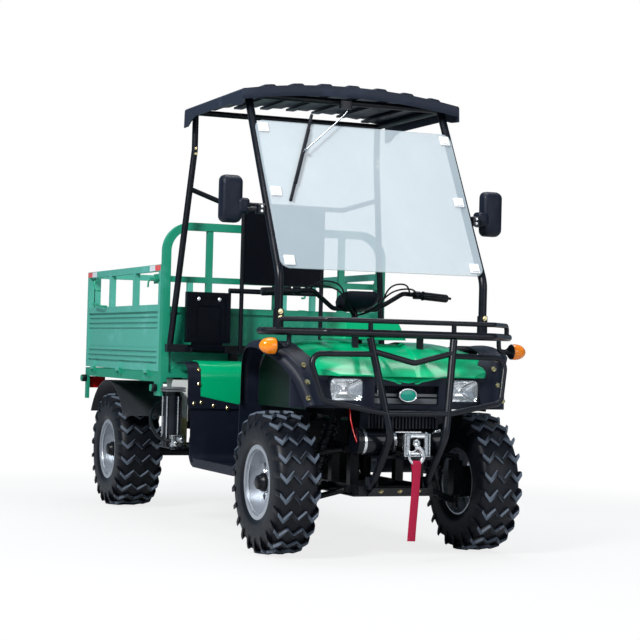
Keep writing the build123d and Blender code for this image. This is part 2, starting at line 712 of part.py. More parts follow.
# Hood: a side profile carried across, its flanks sloped away and its plan narrowed to the nose
HOOD_HALF = 436
HOOD_NOSE_HALF = 300
HOOD_BACK_HALF = 300
HOOD_FLANK = 190
HOOD_FLANK_DROP = 26
HOOD_DIP_HALF = 165
HOOD_DIP_Z = 770
HOOD_TOP = ((-1484, 803), (-1440, 836), (-1300, 918), (-1060, 954), (-890, 940))
HOOD_UNDER = ((-890, 862), (-1060, 852), (-1300, 808), (-1440, 797), (-1484, 797))
with BuildPart() as hood:
    with BuildSketch(Plane.YZ.offset(-HOOD_HALF)):
        with BuildLine():
            Polyline(*HOOD_TOP, *HOOD_UNDER, close=True)
        make_face()
    extrude(amount=2 * HOOD_HALF)
    top_heights = {z for y, z in HOOD_TOP}
    for end in (0, -1):
        flank = hood.faces().sort_by(Axis.X)[end]
        top_edges = [edge for edge in flank.edges() if {round(v.Z) for v in edge.vertices()} <= top_heights]
        chamfer(top_edges, length=HOOD_FLANK_DROP, length2=HOOD_FLANK, reference=flank)
    hood_front = HOOD_TOP[0][0]
    hood_back = HOOD_TOP[-1][0]
    for side in (1, -1):
        with BuildSketch(Plane.XY):
            for corner in (
                ((HOOD_NOSE_HALF, hood_front), (405, HOOD_TOP[1][0]), (HOOD_HALF, HOOD_TOP[2][0]), (HOOD_HALF, hood_front)),
                ((HOOD_BACK_HALF, hood_back), (HOOD_HALF - 10, HOOD_TOP[3][0]), (HOOD_HALF, HOOD_TOP[3][0]), (HOOD_HALF, hood_back)),
            ):
                with BuildLine():
                    Polyline(*[(side * x, y) for x, y in corner], close=True)
                make_face()
        extrude(amount=ROOF_EDGE_Z, mode=Mode.SUBTRACT)
    # The middle of the front edge dips over the grille
    dip_z = HOOD_UNDER[-1][1]
    with BuildSketch(Plane(origin=(0, hood_front, 0), x_dir=(1, 0, 0), z_dir=(0, -1, 0))):
        with BuildLine():
            Polyline((-HOOD_DIP_HALF, dip_z), (0, HOOD_DIP_Z), (HOOD_DIP_HALF, dip_z), close=True)
        make_face()
    extrude(amount=-(HOOD_TOP[1][0] - hood_front))
    tube((COLUMN_FOOT, COLUMN_HEAD), COLUMN_TUBE_R + PIN_GAP, mode=Mode.SUBTRACT)
    for side in (1, -1):
        hole = RACK_FOOT / 2 + PIN_GAP
        hole_x = (side * RAIL_X - hole, side * RAIL_X + hole)
        block(hole_x, (RACK_FOOT_Y - hole, RACK_FOOT_Y + hole), (UPPER_RAIL_Z, RACK_Z), mode=Mode.SUBTRACT)
save(hood, "hood")

# Tank-style cover behind the hood, round the steering column
TANK_HALF = 165
TANK_Y = (-1130, -850)
TANK_Z = (958, 1050)
TANK_TAPER = 24
with BuildPart() as tank_cover:
    with BuildSketch(Plane.XY.offset(TANK_Z[0])):
        with Locations((0, (TANK_Y[0] + TANK_Y[1]) / 2)):
            RectangleRounded(2 * TANK_HALF, TANK_Y[1] - TANK_Y[0], 30)
    extrude(amount=TANK_Z[1] - TANK_Z[0], taper=TANK_TAPER)
    tube((COLUMN_FOOT, COLUMN_HEAD), COLUMN_TUBE_R + PIN_GAP, mode=Mode.SUBTRACT)
save(tank_cover, "tank_cover")

# Centre body under the seat, and the straddle seat on it
SEAT_BASE_Z = 792
CENTRE_HALF = 178
SEAT_HALF = 140
SEAT_BEVEL = 24
with BuildPart() as centre_body:
    centre_bottom = UPPER_RAIL_Z + RAIL_SIZE / 2 + SEAT_GAP
    block((-CENTRE_HALF, CENTRE_HALF), (-800, COVER_BACK), (centre_bottom, SEAT_BASE_Z))
save(centre_body, "centre_body")

with BuildPart() as seat:
    seat_bottom = SEAT_BASE_Z + SEAT_GAP
    with BuildSketch(Plane.YZ.offset(-SEAT_HALF)):
        with BuildLine():
            Polyline(
                (-780, seat_bottom),
                (-770, seat_bottom + 90),
                (-600, seat_bottom + 70),
                (-80, seat_bottom + 92),
                (0, seat_bottom + 80),
                (20, seat_bottom),
                close=True,
            )
        make_face()
    extrude(amount=2 * SEAT_HALF)
    crown = seat.faces().filter_by(lambda face: face.normal_at().Z > 0.5)
    rims = [edge for face in crown for edge in face.edges() if abs(edge.center().X) > SEAT_HALF - 1]
    chamfer(rims, length=SEAT_BEVEL)
save(seat, "seat")

# Front fascia with lamp sockets and a grille opening, cut from a plate that wraps the nose
LAMP_X = 281
LAMP_Z = 738
LAMP_WIDTH = 160
LAMP_HEIGHT = 104
LAMP_CORNER_R = 26
LAMP_Y = (-1456, -1396)
GRILLE_HALF = 155
GRILLE_Z = (676, 758)
FASCIA_Z = (657, HOOD_UNDER[-1][1] - SEAT_GAP)
FASCIA_CUT_Y = (-1500, -1380)
with BuildPart() as front_fascia:
    with BuildSketch(Plane.XY.offset(FASCIA_Z[0])):
        with BuildLine():
            Polyline(
                (-520, -1404),
                (-440, -1418),
                (-400, -1440),
                (-190, -1470),
                (0, -1487),
                (190, -1470),
                (400, -1440),
                (440, -1418),
                (520, -1404),
                (520, -1390),
                (380, -1390),
                (180, -1420),
                (-180, -1420),
                (-380, -1390),
                (-520, -1390),
                close=True,
            )
        make_face()
    extrude(amount=FASCIA_Z[1] - FASCIA_Z[0])
    for side in (1, -1):
        with BuildSketch(Plane(origin=(side * LAMP_X, FASCIA_CUT_Y[0], LAMP_Z), x_dir=(1, 0, 0), z_dir=(0, 1, 0))):
            RectangleRounded(LAMP_WIDTH, LAMP_HEIGHT, LAMP_CORNER_R)
        extrude(amount=FASCIA_CUT_Y[1] - FASCIA_CUT_Y[0], mode=Mode.SUBTRACT)
    block((-GRILLE_HALF, GRILLE_HALF), FASCIA_CUT_Y, GRILLE_Z, mode=Mode.SUBTRACT)
    with BuildSketch(Plane(origin=(0, FASCIA_CUT_Y[0], 0), x_dir=(1, 0, 0), z_dir=(0, -1, 0))):
        with BuildLine():
            Polyline(
                (-HOOD_DIP_HALF - 2, FASCIA_Z[1]),
                (0, HOOD_DIP_Z - 2 * SEAT_GAP),
                (HOOD_DIP_HALF + 2, FASCIA_Z[1]),
                close=True,
            )
        make_face()
    extrude(amount=FASCIA_CUT_Y[0] - FASCIA_CUT_Y[1], mode=Mode.SUBTRACT)
save(front_fascia, "front_fascia")

with BuildPart() as headlamps:
    for side in (1, -1):
        with BuildSketch(Plane(origin=(side * LAMP_X, LAMP_Y[0], LAMP_Z), x_dir=(1, 0, 0), z_dir=(0, 1, 0))):
            RectangleRounded(LAMP_WIDTH - 2 * SEAT_GAP, LAMP_HEIGHT - 2 * SEAT_GAP, LAMP_CORNER_R - SEAT_GAP)
        extrude(amount=LAMP_Y[1] - LAMP_Y[0])
save(headlamps, "headlamps")

# Grille: a dark back plate, one bar at the blank oval boss and a broader band below
EMBLEM = (84, 56)
EMBLEM_Y = -1486
GRILLE_BACK_Y = (-1436, -1426)
GRILLE_BAR_Y = -1458
# height above the bottom of the opening, half height
GRILLE_BARS = ((41, 6), (15, 11))
with BuildPart() as grille:
    grille_x = (SEAT_GAP - GRILLE_HALF, GRILLE_HALF - SEAT_GAP)
    for rise, half_height in GRILLE_BARS:
        bar_z = GRILLE_Z[0] + rise
        block(grille_x, (GRILLE_BAR_Y, GRILLE_BACK_Y[0]), (bar_z - half_height, bar_z + half_height))
    block(grille_x, GRILLE_BACK_Y, (GRILLE_Z[0] + SEAT_GAP, GRILLE_Z[1] - SEAT_GAP))
    emblem_z = GRILLE_Z[0] + GRILLE_BARS[0][0]
    with BuildSketch(Plane(origin=(0, EMBLEM_Y, emblem_z), x_dir=(1, 0, 0), z_dir=(0, 1, 0))):
        SlotOverall(*EMBLEM)
    extrude(amount=GRILLE_BACK_Y[0] - EMBLEM_Y)
save(grille, "grille")

# Front rack: lower loop with slats, raised rail on short posts
with BuildPart() as front_rack:
    loop = (
        (0, A_FOOT[1], RACK_Z),
        (RACK_HALF_WIDTH, A_FOOT[1], RACK_Z),
        (RACK_HALF_WIDTH, RACK_SHOULDER, RACK_Z),
        (RACK_FRONT_HALF, RACK_FRONT, RACK_Z),
        (0, RACK_FRONT, RACK_Z),
    )
    for side in (1, -1):
        tube([mirrored(p, side) for p in loop], RACK_TUBE_R, 32)
    for x in (-360, -RAIL_X, RAIL_X, 360):
        block((x - 14, x + 14), (RACK_FRONT, A_FOOT[1]), (RACK_Z - 4, RACK_Z + 4))
    rail = (
        (0, RACK_FRONT, RACK_TOP_Z),
        (RACK_FRONT_HALF, RACK_FRONT, RACK_TOP_Z),
        (RACK_HALF_WIDTH - 40, RACK_SHOULDER - 50, RACK_TOP_Z),
        (RACK_HALF_WIDTH - 40, RACK_SHOULDER - 50, RACK_Z),
    )
    for side in (1, -1):
        tube([mirrored(p, side) for p in rail], RACK_TOP_R, 24)
        rod_z((side * POST_TOP[0], RACK_FRONT, (RACK_Z + RACK_TOP_Z) / 2), RACK_TOP_R, RACK_TOP_Z - RACK_Z)
        # Feet of the rack stand on the upper rails through the hood
        foot = (side * RAIL_X, RACK_FOOT_Y, UPPER_RAIL_Z + RAIL_SIZE / 2 + SEAT_GAP)
        beam(foot, (side * RAIL_X, RACK_FOOT_Y, RACK_Z), RACK_FOOT, RACK_FOOT)
save(front_rack, "front_rack")

# Bull bar: two kinked posts, side loops, cross tubes and the winch tray
WINCH_Y = -1462
WINCH_Z = 515
WINCH_R = 58
with BuildPart() as bull_bar:
    for side in (1, -1):
        post = (POST_BASE, POST_KINK, POST_TOP)
        tube([mirrored(p, side) for p in post], POST_R, 90)
        hoop = ((188, -1532, 893), (475, -1491, 889), (426, -1541, 690), (146, -1584, 640))
        tube([mirrored(p, side) for p in hoop], LOOP_R, 45)
        block(
            (side * (POST_BASE[0] - 22), side * (POST_BASE[0] + 22)),
            (LOWER_RAIL_FRONT - SEAT_GAP, LOWER_RAIL_FRONT - 40),
            (LOWER_RAIL_Z + 8, LOWER_RAIL_Z + 62),
        )
    tube(((-190, -1530, 905), (0, -1540, 858), (190, -1530, 905)), LOOP_R, 60)
    tube(((-146, -1584, 640), (146, -1584, 640)), LOOP_R)
    tray_top = WINCH_Z - WINCH_R - SEAT_GAP
    block((-150, 150), (-1520, WINCH_Y + WINCH_R), (tray_top - 12, tray_top))
    block((-62, 62), (-1592, -1500), (tray_top - 12, tray_top))
save(bull_bar, "bull_bar")

with BuildPart() as winch:
    # x from, x to, radius of motor, drum and gear case
    for x0, x1, radius in ((-241, -62, WINCH_R), (-62, 66, 38), (66, 168, WINCH_R)):
        rod_x(((x0 + x1) / 2, WINCH_Y, WINCH_Z), radius, x1 - x0)
    for end in (-1, 1):
        rod_x((0, WINCH_Y + end * 30, WINCH_Z + 42), 5, 150)
save(winch, "winch")

CONTROLLER_X = (-200, 130)
CONTROLLER_Y = (WINCH_Y - 40, WINCH_Y + 40)
CONTROLLER_FINS = 21
CONTROLLER_FIN = 6
CONTROLLER_FIN_RISE = 12
CONTROLLER_TOP = 648
with BuildPart() as winch_controller:
    base_z = WINCH_Z + WINCH_R + SEAT_GAP
    block(CONTROLLER_X, CONTROLLER_Y, (base_z, CONTROLLER_TOP))
    fin_step = (CONTROLLER_X[1] - CONTROLLER_X[0] - CONTROLLER_FIN) / (CONTROLLER_FINS - 1)
    fin_y = (CONTROLLER_Y[0] - CONTROLLER_FIN_RISE, CONTROLLER_Y[0])
    for n in range(CONTROLLER_FINS):
        fin_x = CONTROLLER_X[0] + n * fin_step
        block((fin_x, fin_x + CONTROLLER_FIN), fin_y, (base_z, CONTROLLER_TOP))
save(winch_controller, "winch_controller")

HOOK_Y = -1604
HOOK_Z = 470
HOOK_HALF = 7
HOOK_OUTER_R = 36
HOOK_EYE_R = 22
FAIRLEAD_Y = (HOOK_Y + HOOK_HALF + SEAT_GAP, -1572)
FAIRLEAD_Z = (tray_top + SEAT_GAP, tray_top + SEAT_GAP + 100)
with BuildPart() as winch_fairlead:
    block((-62, 62), FAIRLEAD_Y, FAIRLEAD_Z)
    block((-40, 40), (-1700, -1500), (FAIRLEAD_Z[0] + 22, FAIRLEAD_Z[1] - 22), mode=Mode.SUBTRACT)
    for x in (-34, 34):
        rod_z((x, -1584, (FAIRLEAD_Z[0] + FAIRLEAD_Z[1]) / 2), 9, FAIRLEAD_Z[1] - FAIRLEAD_Z[0] - 10)
save(winch_fairlead, "winch_fairlead")

STRAP_WIDTH = 36
STRAP_THICKNESS = 4
STRAP_BOTTOM = 96
with BuildPart() as winch_hook:
    with BuildSketch(Plane(origin=(0, HOOK_Y - HOOK_HALF, HOOK_Z), x_dir=(1, 0, 0), z_dir=(0, 1, 0))):
        Circle(HOOK_OUTER_R)
        Circle(HOOK_EYE_R, mode=Mode.SUBTRACT)
    extrude(amount=2 * HOOK_HALF)
    block((-8, 8), (HOOK_Y - HOOK_HALF, -1584), (HOOK_Z + 28, HOOK_Z + 44))
save(winch_hook, "winch_hook")

with BuildPart() as winch_strap:
    strap_y = (HOOK_Y - STRAP_THICKNESS / 2, HOOK_Y + STRAP_THICKNESS / 2)
    strap_top = HOOK_Z - HOOK_OUTER_R - SEAT_GAP
    block((-STRAP_WIDTH / 2, STRAP_WIDTH / 2), strap_y, (STRAP_BOTTOM, strap_top))
save(winch_strap, "winch_strap")

# Indicators on stems below the rack
INDICATOR = (608, -1355, 910)
INDICATOR_R = 27
INDICATOR_HALF = 34
INDICATOR_STEM = (522, 590)
with BuildPart() as indicators:
    for side in (1, -1):
        lamp = (side * INDICATOR[0], INDICATOR[1], INDICATOR[2])
        rod_x(lamp, INDICATOR_R, 2 * INDICATOR_HALF)
        rod_x((side * (INDICATOR_STEM[0] + INDICATOR_STEM[1]) / 2, *INDICATOR[1:]), 8, INDICATOR_STEM[1] - INDICATOR_STEM[0])
        bracket_top = RACK_Z - RACK_TUBE_R - SEAT_GAP
        bracket_y = (INDICATOR[1] - 8, INDICATOR[1] + 8)
        bracket_x = (side * (INDICATOR_STEM[0] - 8), side * (INDICATOR_STEM[0] + 8))
        block(bracket_x, bracket_y, (INDICATOR[2] - 8, bracket_top))
save(indicators, "indicators")

# Cage: front pillars with header, rear pillars with roof rails, cross bar, beam and guard posts
with BuildPart() as front_cage:
    for side in (1, -1):
        foot = (A_FOOT[0], A_FOOT[1], RACK_Z + RACK_TUBE_R + SEAT_GAP)
        knee = (A_FOOT[0], A_FOOT[1], A_KNEE_Z)
        tube([mirrored(p, side) for p in (foot, knee, A_HEAD)], A_PILLAR_R, 120)
        rod_z(mirrored((A_FOOT[0], A_FOOT[1], 1040), side), A_PILLAR_R + 5, 80)
    tube((mirrored(A_HEAD, -1), A_HEAD), ROOF_RAIL_R)
save(front_cage, "front_cage")

GUARD_HALF = 209
GUARD_BOTTOM = 1232
GUARD_TOP = 1640
GUARD_Y = 50
GUARD_RAIL_Z = 1195
GUARD_TUBE_R = 13
GUARD_POST_R = 11
GUARD_POST_X = GUARD_HALF + 12
GUARD_BAR_SHARE = 0.8
JUMP_HINGE = (18, 889)
JUMP_EARS = (-500, -314)
JUMP_PIN_R = 8
with BuildPart() as rear_cage:
    for side in (1, -1):
        top = (B_JOINT[0], B_JOINT[1], ROOF_RAIL_Z)
        front = (B_JOINT[0], A_HEAD[1] + A_PILLAR_R + SEAT_GAP + 4, ROOF_RAIL_Z)
        tube([mirrored(p, side) for p in (B_FOOT, B_JOINT, top)], B_PILLAR_R, 60)
        tube([mirrored(p, side) for p in (top, front)], ROOF_RAIL_R)
        rod_z((side * GUARD_POST_X, GUARD_Y, (REAR_BEAM_Z + GUARD_TOP) / 2), GUARD_POST_R, GUARD_TOP - REAR_BEAM_Z)
    tube(((-B_JOINT[0], B_JOINT[1], ROOF_RAIL_Z), (B_JOINT[0], B_JOINT[1], ROOF_RAIL_Z)), ROOF_RAIL_R)
    bar_end = between(B_FOOT, B_JOINT, GUARD_BAR_SHARE)
    bar_turn = (330, GUARD_Y, GUARD_TOP)
    tube((mirrored(bar_end, -1), mirrored(bar_turn, -1), bar_turn, bar_end), GUARD_TUBE_R, 60)
    tube(((-290, GUARD_Y, GUARD_RAIL_Z), (GUARD_POST_X, GUARD_Y, GUARD_RAIL_Z)), GUARD_TUBE_R)
    beam_x = REAR_BEAM_HALF
    beam((-beam_x, REAR_BEAM_Y, REAR_BEAM_Z), (beam_x, REAR_BEAM_Y, REAR_BEAM_Z), REAR_BEAM_SIZE, REAR_BEAM_SIZE)
    # Ears of the jump seat hinge
    for x in JUMP_EARS:
        block((x - 6, x + 6), (JUMP_HINGE[0] - 15, REAR_BEAM_Y), (JUMP_HINGE[1] - 15, JUMP_HINGE[1] + 15))
        rod_x((x, *JUMP_HINGE), JUMP_PIN_R + PIN_GAP, 40, mode=Mode.SUBTRACT)
save(rear_cage, "rear_cage")

with BuildPart() as back_guard:
    guard_half = GUARD_POST_X - GUARD_POST_R - SEAT_GAP
    guard_z = (GUARD_BOTTOM, GUARD_TOP - GUARD_TUBE_R - SEAT_GAP)
    block((-guard_half, guard_half), (GUARD_Y - 4, GUARD_Y + 4), guard_z)
save(back_guard, "back_guard")

# Jump seat folded up against the rear pillar
JUMP_X = (-524, -290)
JUMP_Y = (20, 50)
JUMP_Z = (889, 1182)
JUMP_NOTCH = 36
JUMP_FRAME = 26
JUMP_FRAME_RISE = 6
with BuildPart() as jump_seat:
    block(JUMP_X, JUMP_Y, (JUMP_Z[0] + JUMP_NOTCH, JUMP_Z[1]))
    block((JUMP_EARS[0] + 14, JUMP_EARS[1] - 14), JUMP_Y, (JUMP_Z[0], JUMP_Z[0] + JUMP_NOTCH))
    # Raised frame round the front of the board
    frame_y = (JUMP_Y[0] - JUMP_FRAME_RISE, JUMP_Y[0])
    for inset in (0, JUMP_X[1] - JUMP_X[0] - JUMP_FRAME):
        frame_x = JUMP_X[0] + inset
        block((frame_x, frame_x + JUMP_FRAME), frame_y, (JUMP_Z[0] + JUMP_NOTCH, JUMP_Z[1]))
    for frame_z in (JUMP_Z[0] + JUMP_NOTCH, JUMP_Z[1] - JUMP_FRAME):
        block(JUMP_X, frame_y, (frame_z, frame_z + JUMP_FRAME))
    rod_x((sum(JUMP_EARS) / 2, *JUMP_HINGE), JUMP_PIN_R, JUMP_EARS[1] - JUMP_EARS[0] + 14)
save(jump_seat, "jump_seat")

# Roof: an arched sheet with turned-down sides, fore-and-aft ribs, a front lip and deeper rear corners
roof_length = ROOF_REAR - ROOF_FRONT
roof_rise = ROOF_CROWN_Z - ROOF_EDGE_Z
roof_radius = (ROOF_HALF_WIDTH**2 + roof_rise**2) / (2 * roof_rise)


def roof_height(x):
    """Height of the roof's outer skin at a distance x from the centre plane."""
    return ROOF_CROWN_Z - roof_radius + sqrt(roof_radius**2 - x**2)


front_plane = Plane(origin=(0, ROOF_FRONT, 0), x_dir=(1, 0, 0), z_dir=(0, -1, 0))
with BuildPart() as roof_panel:
    with BuildSketch(front_plane):
        with BuildLine():
            top = ThreePointArc((-ROOF_HALF_WIDTH, ROOF_EDGE_Z), (0, ROOF_CROWN_Z), (ROOF_HALF_WIDTH, ROOF_EDGE_Z))
            inner = ROOF_HALF_WIDTH - ROOF_WALL
            under = ThreePointArc(
                (inner, ROOF_EDGE_Z - ROOF_WALL),
                (0, ROOF_CROWN_Z - ROOF_WALL),
                (-inner, ROOF_EDGE_Z - ROOF_WALL),
            )
            Polyline(top @ 1, (ROOF_HALF_WIDTH, ROOF_SKIRT_Z), (inner, ROOF_SKIRT_Z), under @ 0)
            Polyline(under @ 1, (-inner, ROOF_SKIRT_Z), (-ROOF_HALF_WIDTH, ROOF_SKIRT_Z), top @ 0)
        make_face()
        rib_height = ROOF_RIB_RISE + ROOF_WALL
        for n in range(ROOF_RIBS):
            rib_x = (n - (ROOF_RIBS - 1) / 2) * ROOF_RIB_PITCH
            with Locations((rib_x, roof_height(rib_x) + ROOF_RIB_RISE - rib_height / 2)):
                Trapezoid(ROOF_RIB_WIDTH, rib_height, 50)
    extrude(amount=-roof_length)
    with BuildSketch(front_plane):
        with BuildLine():
            lip_top = ThreePointArc((-inner, ROOF_EDGE_Z), (0, ROOF_CROWN_Z), (inner, ROOF_EDGE_Z))
            lip_under = ThreePointArc(
                (inner, ROOF_EDGE_Z - ROOF_LIP),
                (0, ROOF_CROWN_Z - ROOF_LIP),
                (-inner, ROOF_EDGE_Z - ROOF_LIP),
            )
            Line(lip_top @ 1, lip_under @ 0)
            Line(lip_under @ 1, lip_top @ 0)
        make_face()
    extrude(amount=-ROOF_WALL)
    for x0 in (-ROOF_HALF_WIDTH, inner):
        with BuildSketch(Plane.YZ.offset(x0)):
            with BuildLine():
                Polyline(
                    (ROOF_REAR, ROOF_SKIRT_Z),
                    (ROOF_REAR, ROOF_TAB_Z),
                    (ROOF_REAR - ROOF_TAB_LENGTH / 3, ROOF_TAB_Z),
                    (ROOF_REAR - ROOF_TAB_LENGTH, ROOF_SKIRT_Z),
                    close=True,
                )
            make_face()
        extrude(amount=ROOF_WALL)
save(roof_panel, "roof_panel")

# Windscreen: a flat sheet with rounded corners, raked like the pillars
screen_rake = Vector(0, SCREEN_TOP[0] - SCREEN_BOTTOM[0], SCREEN_TOP[1] - SCREEN_BOTTOM[1])
screen_mid = ((SCREEN_TOP[0] + SCREEN_BOTTOM[0]) / 2, (SCREEN_TOP[1] + SCREEN_BOTTOM[1]) / 2)
with BuildPart() as windscreen:
    screen_normal = Vector(1, 0, 0).cross(screen_rake)
    with BuildSketch(Plane(origin=(0, *screen_mid), x_dir=(1, 0, 0), z_dir=screen_normal)):
        RectangleRounded(2 * SCREEN_HALF_WIDTH, screen_rake.length, SCREEN_CORNER_R)
    extrude(amount=SCREEN_THICKNESS)
save(windscreen, "windscreen")

# Mirrors clamped to the front pillars, each a rounded shell that narrows towards the front
MIRROR_SHARE = 0.3458
MIRROR_REACH = 56
MIRROR = (660, -950, 1571)
MIRROR_SIZE = (96, 202)
MIRROR_DEPTH = 54
MIRROR_CORNER_R = 24
MIRROR_TAPER = 12
CLAMP_HALF = 18
MIRROR_ARM_R = 8
with BuildPart() as mirrors:
    for side in (1, -1):
        with BuildSketch(Plane(origin=mirrored(MIRROR, side), x_dir=(1, 0, 0), z_dir=(0, -1, 0))):
            RectangleRounded(*MIRROR_SIZE, MIRROR_CORNER_R)
        extrude(amount=MIRROR_DEPTH, taper=MIRROR_TAPER)
        clamp = between((A_FOOT[0], A_FOOT[1], A_KNEE_Z), A_HEAD, MIRROR_SHARE)
        clamp_x = (side * (clamp[0] + A_PILLAR_R + SEAT_GAP), side * (clamp[0] + MIRROR_REACH))
        clamp_y = (clamp[1] - CLAMP_HALF, clamp[1] + CLAMP_HALF)
        block(clamp_x, clamp_y, (clamp[2] - CLAMP_HALF, clamp[2] + CLAMP_HALF))
        arm = (clamp[0] + MIRROR_REACH - 12, clamp[1], clamp[2])
        arm_end = (MIRROR[0] - 20, MIRROR[1] - MIRROR_DEPTH / 2, clamp[2])
        tube((mirrored(arm, side), mirrored(arm_end, side)), MIRROR_ARM_R)
save(mirrors, "mirrors")

# Handlebar with grips and stem, and the instrument pod on it
BAR_R = 11
GRIP_R = 17
LEVER_CLAMP = (306, -917, 1175)
LEVER_CLAMP_R = 19
LEVER_KNEE = (330, -962, 1172)
LEVER_TIP = (468, -952, 1164)
LEVER_R = 6
with BuildPart() as handlebar:
    stem_foot = between(COLUMN_FOOT, COLUMN_HEAD, 0.11)
    tube((stem_foot, COLUMN_HEAD), STEM_R)
    for side in (1, -1):
        bar = (COLUMN_HEAD, (110, -885, 1100), (230, -925, 1180), (470, -900, 1165))
        tube([mirrored(p, side) for p in bar], BAR_R, 40)
        tube([mirrored(p, side) for p in ((335, -914, 1173.5), (474, -899.6, 1164.8))], GRIP_R)
        # Brake lever in front of the grip, from a clamp on the bar
        rod_x(mirrored(LEVER_CLAMP, side), LEVER_CLAMP_R, 30)
        tube([mirrored(p, side) for p in (LEVER_CLAMP, LEVER_KNEE, LEVER_TIP)], LEVER_R, 20)
save(handlebar, "handlebar")

pod_base = COLUMN_HEAD[2] + BAR_R + SEAT_GAP
with BuildPart() as instrument_pod:
    with BuildSketch(Plane.YZ.offset(-80)):
        with BuildLine():
            Polyline(
                (-960, 1090),
                (-985, 1130),
                (-900, 1185),
                (-850, 1165),
                (-850, pod_base),
                (-905, pod_base),
                close=True,
            )
        make_face()
    extrude(amount=160)
save(instrument_pod, "instrument_pod")

# Cargo bed: floor, rails, runners, corner brackets, stops and hinge pins
SIDE_Y = (BED_FRONT + HEAD_TUBE + 6, BED_REAR)
hinge_x = BED_HALF_WIDTH + HINGE_OUT
hinge_z = SIDE_BOTTOM - HINGE_DROP
HINGE_ROWS = (330, 850, 1370)
GATE_HALF = BED_HALF_WIDTH - SIDE_WALL - 7
GATE_Y = (BED_REAR - 30, BED_REAR - 2)
GATE_HINGE_Y = BED_REAR + HINGE_OUT
GATE_HINGES = (-380, 0, 380)
STOP_R = 18
STOP_LENGTH = 32
BED_CROSSBARS = (520, 1060)
with BuildPart() as bed_deck:
    rail_in = BED_HALF_WIDTH - BED_RAIL_WIDTH
    floor_z = (BED_FLOOR_TOP - BED_FLOOR_THICKNESS, BED_FLOOR_TOP)
    floor_y = (BED_FRONT + HEAD_TUBE + 2, GATE_Y[0] - 2)
    block((-rail_in, rail_in), floor_y, floor_z)
    # Sills close the floor under the headboard and under the tailgate
    for sill_y in ((BED_FRONT, floor_y[0]), (floor_y[1], BED_REAR)):
        block((-rail_in, rail_in), sill_y, (BED_RAIL_BOTTOM + 24, BED_RAIL_TOP))
    for side in (1, -1):
        block((side * rail_in, side * BED_HALF_WIDTH), (BED_FRONT, BED_REAR), (BED_RAIL_BOTTOM, BED_RAIL_TOP))
        runner_out = BED_RUNNER_X + BED_RUNNER_WIDTH / 2
        runner_x = (side * (runner_out - BED_RUNNER_WIDTH), side * runner_out)
        block(runner_x, (BED_FRONT + HEAD_TUBE, BED_REAR - 10), (BED_PIVOT_Z - 22, BED_FLOOR_TOP - 1))
        # Front corner bracket and rear skirt plate hang below the rail
        plate_x = (side * (BED_HALF_WIDTH - 14), side * BED_HALF_WIDTH)
        block(plate_x, (BED_FRONT, BED_FRONT + 110), (650, BED_RAIL_TOP))
        block(plate_x, (BED_REAR - 46, BED_REAR), (590, BED_RAIL_TOP))
        for stop_y, stop_z in ((BED_FRONT + 70, 690), (BED_REAR - 24, 706)):
            rod_x((side * (BED_HALF_WIDTH + STOP_LENGTH / 2), stop_y, stop_z), STOP_R, STOP_LENGTH)
        for y in HINGE_ROWS:
            rod_y((side * hinge_x, y, hinge_z), HINGE_PIN_R, HINGE_SLEEVE_L + 24)
            for end in (-1, 1):
                tab_y = y + end * (HINGE_SLEEVE_L / 2 + 8)
                tab_out = side * (hinge_x + HINGE_PIN_R)
                tab_range = (tab_y - 4, tab_y + 4)
                block((side * (BED_HALF_WIDTH - 6), tab_out), tab_range, (hinge_z - 24, BED_RAIL_TOP))
                block((side * (BED_HALF_WIDTH + 5), tab_out), tab_range, (hinge_z - 24, hinge_z + HINGE_PIN_R))
        pin_length = REAR_RAIL_X + SEAT_GAP - BED_RUNNER_X
        rod_x((side * (BED_RUNNER_X + pin_length / 2), BED_PIVOT_Y, BED_PIVOT_Z), BED_PIN_R, pin_length)
    for y in (BED_FRONT + HEAD_TUBE + 20, *BED_CROSSBARS):
        block((-rail_in, rail_in), (y - 20, y + 20), (BED_RAIL_BOTTOM + 24, BED_FLOOR_TOP - 1))
    for x in GATE_HINGES:
        rod_x((x, GATE_HINGE_Y, hinge_z), HINGE_PIN_R, HINGE_SLEEVE_L + 24)
        for end in (-1, 1):
            tab_x = x + end * (HINGE_SLEEVE_L / 2 + 8)
            tab_range = (tab_x - 4, tab_x + 4)
            tab_back = GATE_HINGE_Y + HINGE_PIN_R
            block(tab_range, (BED_REAR - 6, tab_back), (hinge_z - 24, BED_RAIL_TOP))
            block(tab_range, (BED_REAR + 5, tab_back), (hinge_z - 24, hinge_z + HINGE_PIN_R))
    for ear in (-1, 1):
        ear_x = ear * (TILT_EYE_W / 2 + TILT_EAR_GAP + HANGER_WALL / 2)
        ear_x_range = (ear_x - HANGER_WALL / 2, ear_x + HANGER_WALL / 2)
        ear_y_range = (TILT_HEAD[1] - TILT_EYE_R, TILT_HEAD[1] + TILT_EYE_R)
        block(ear_x_range, ear_y_range, (TILT_HEAD[2] - TILT_EYE_R, BED_FLOOR_TOP - 1))
save(bed_deck, "bed_deck")

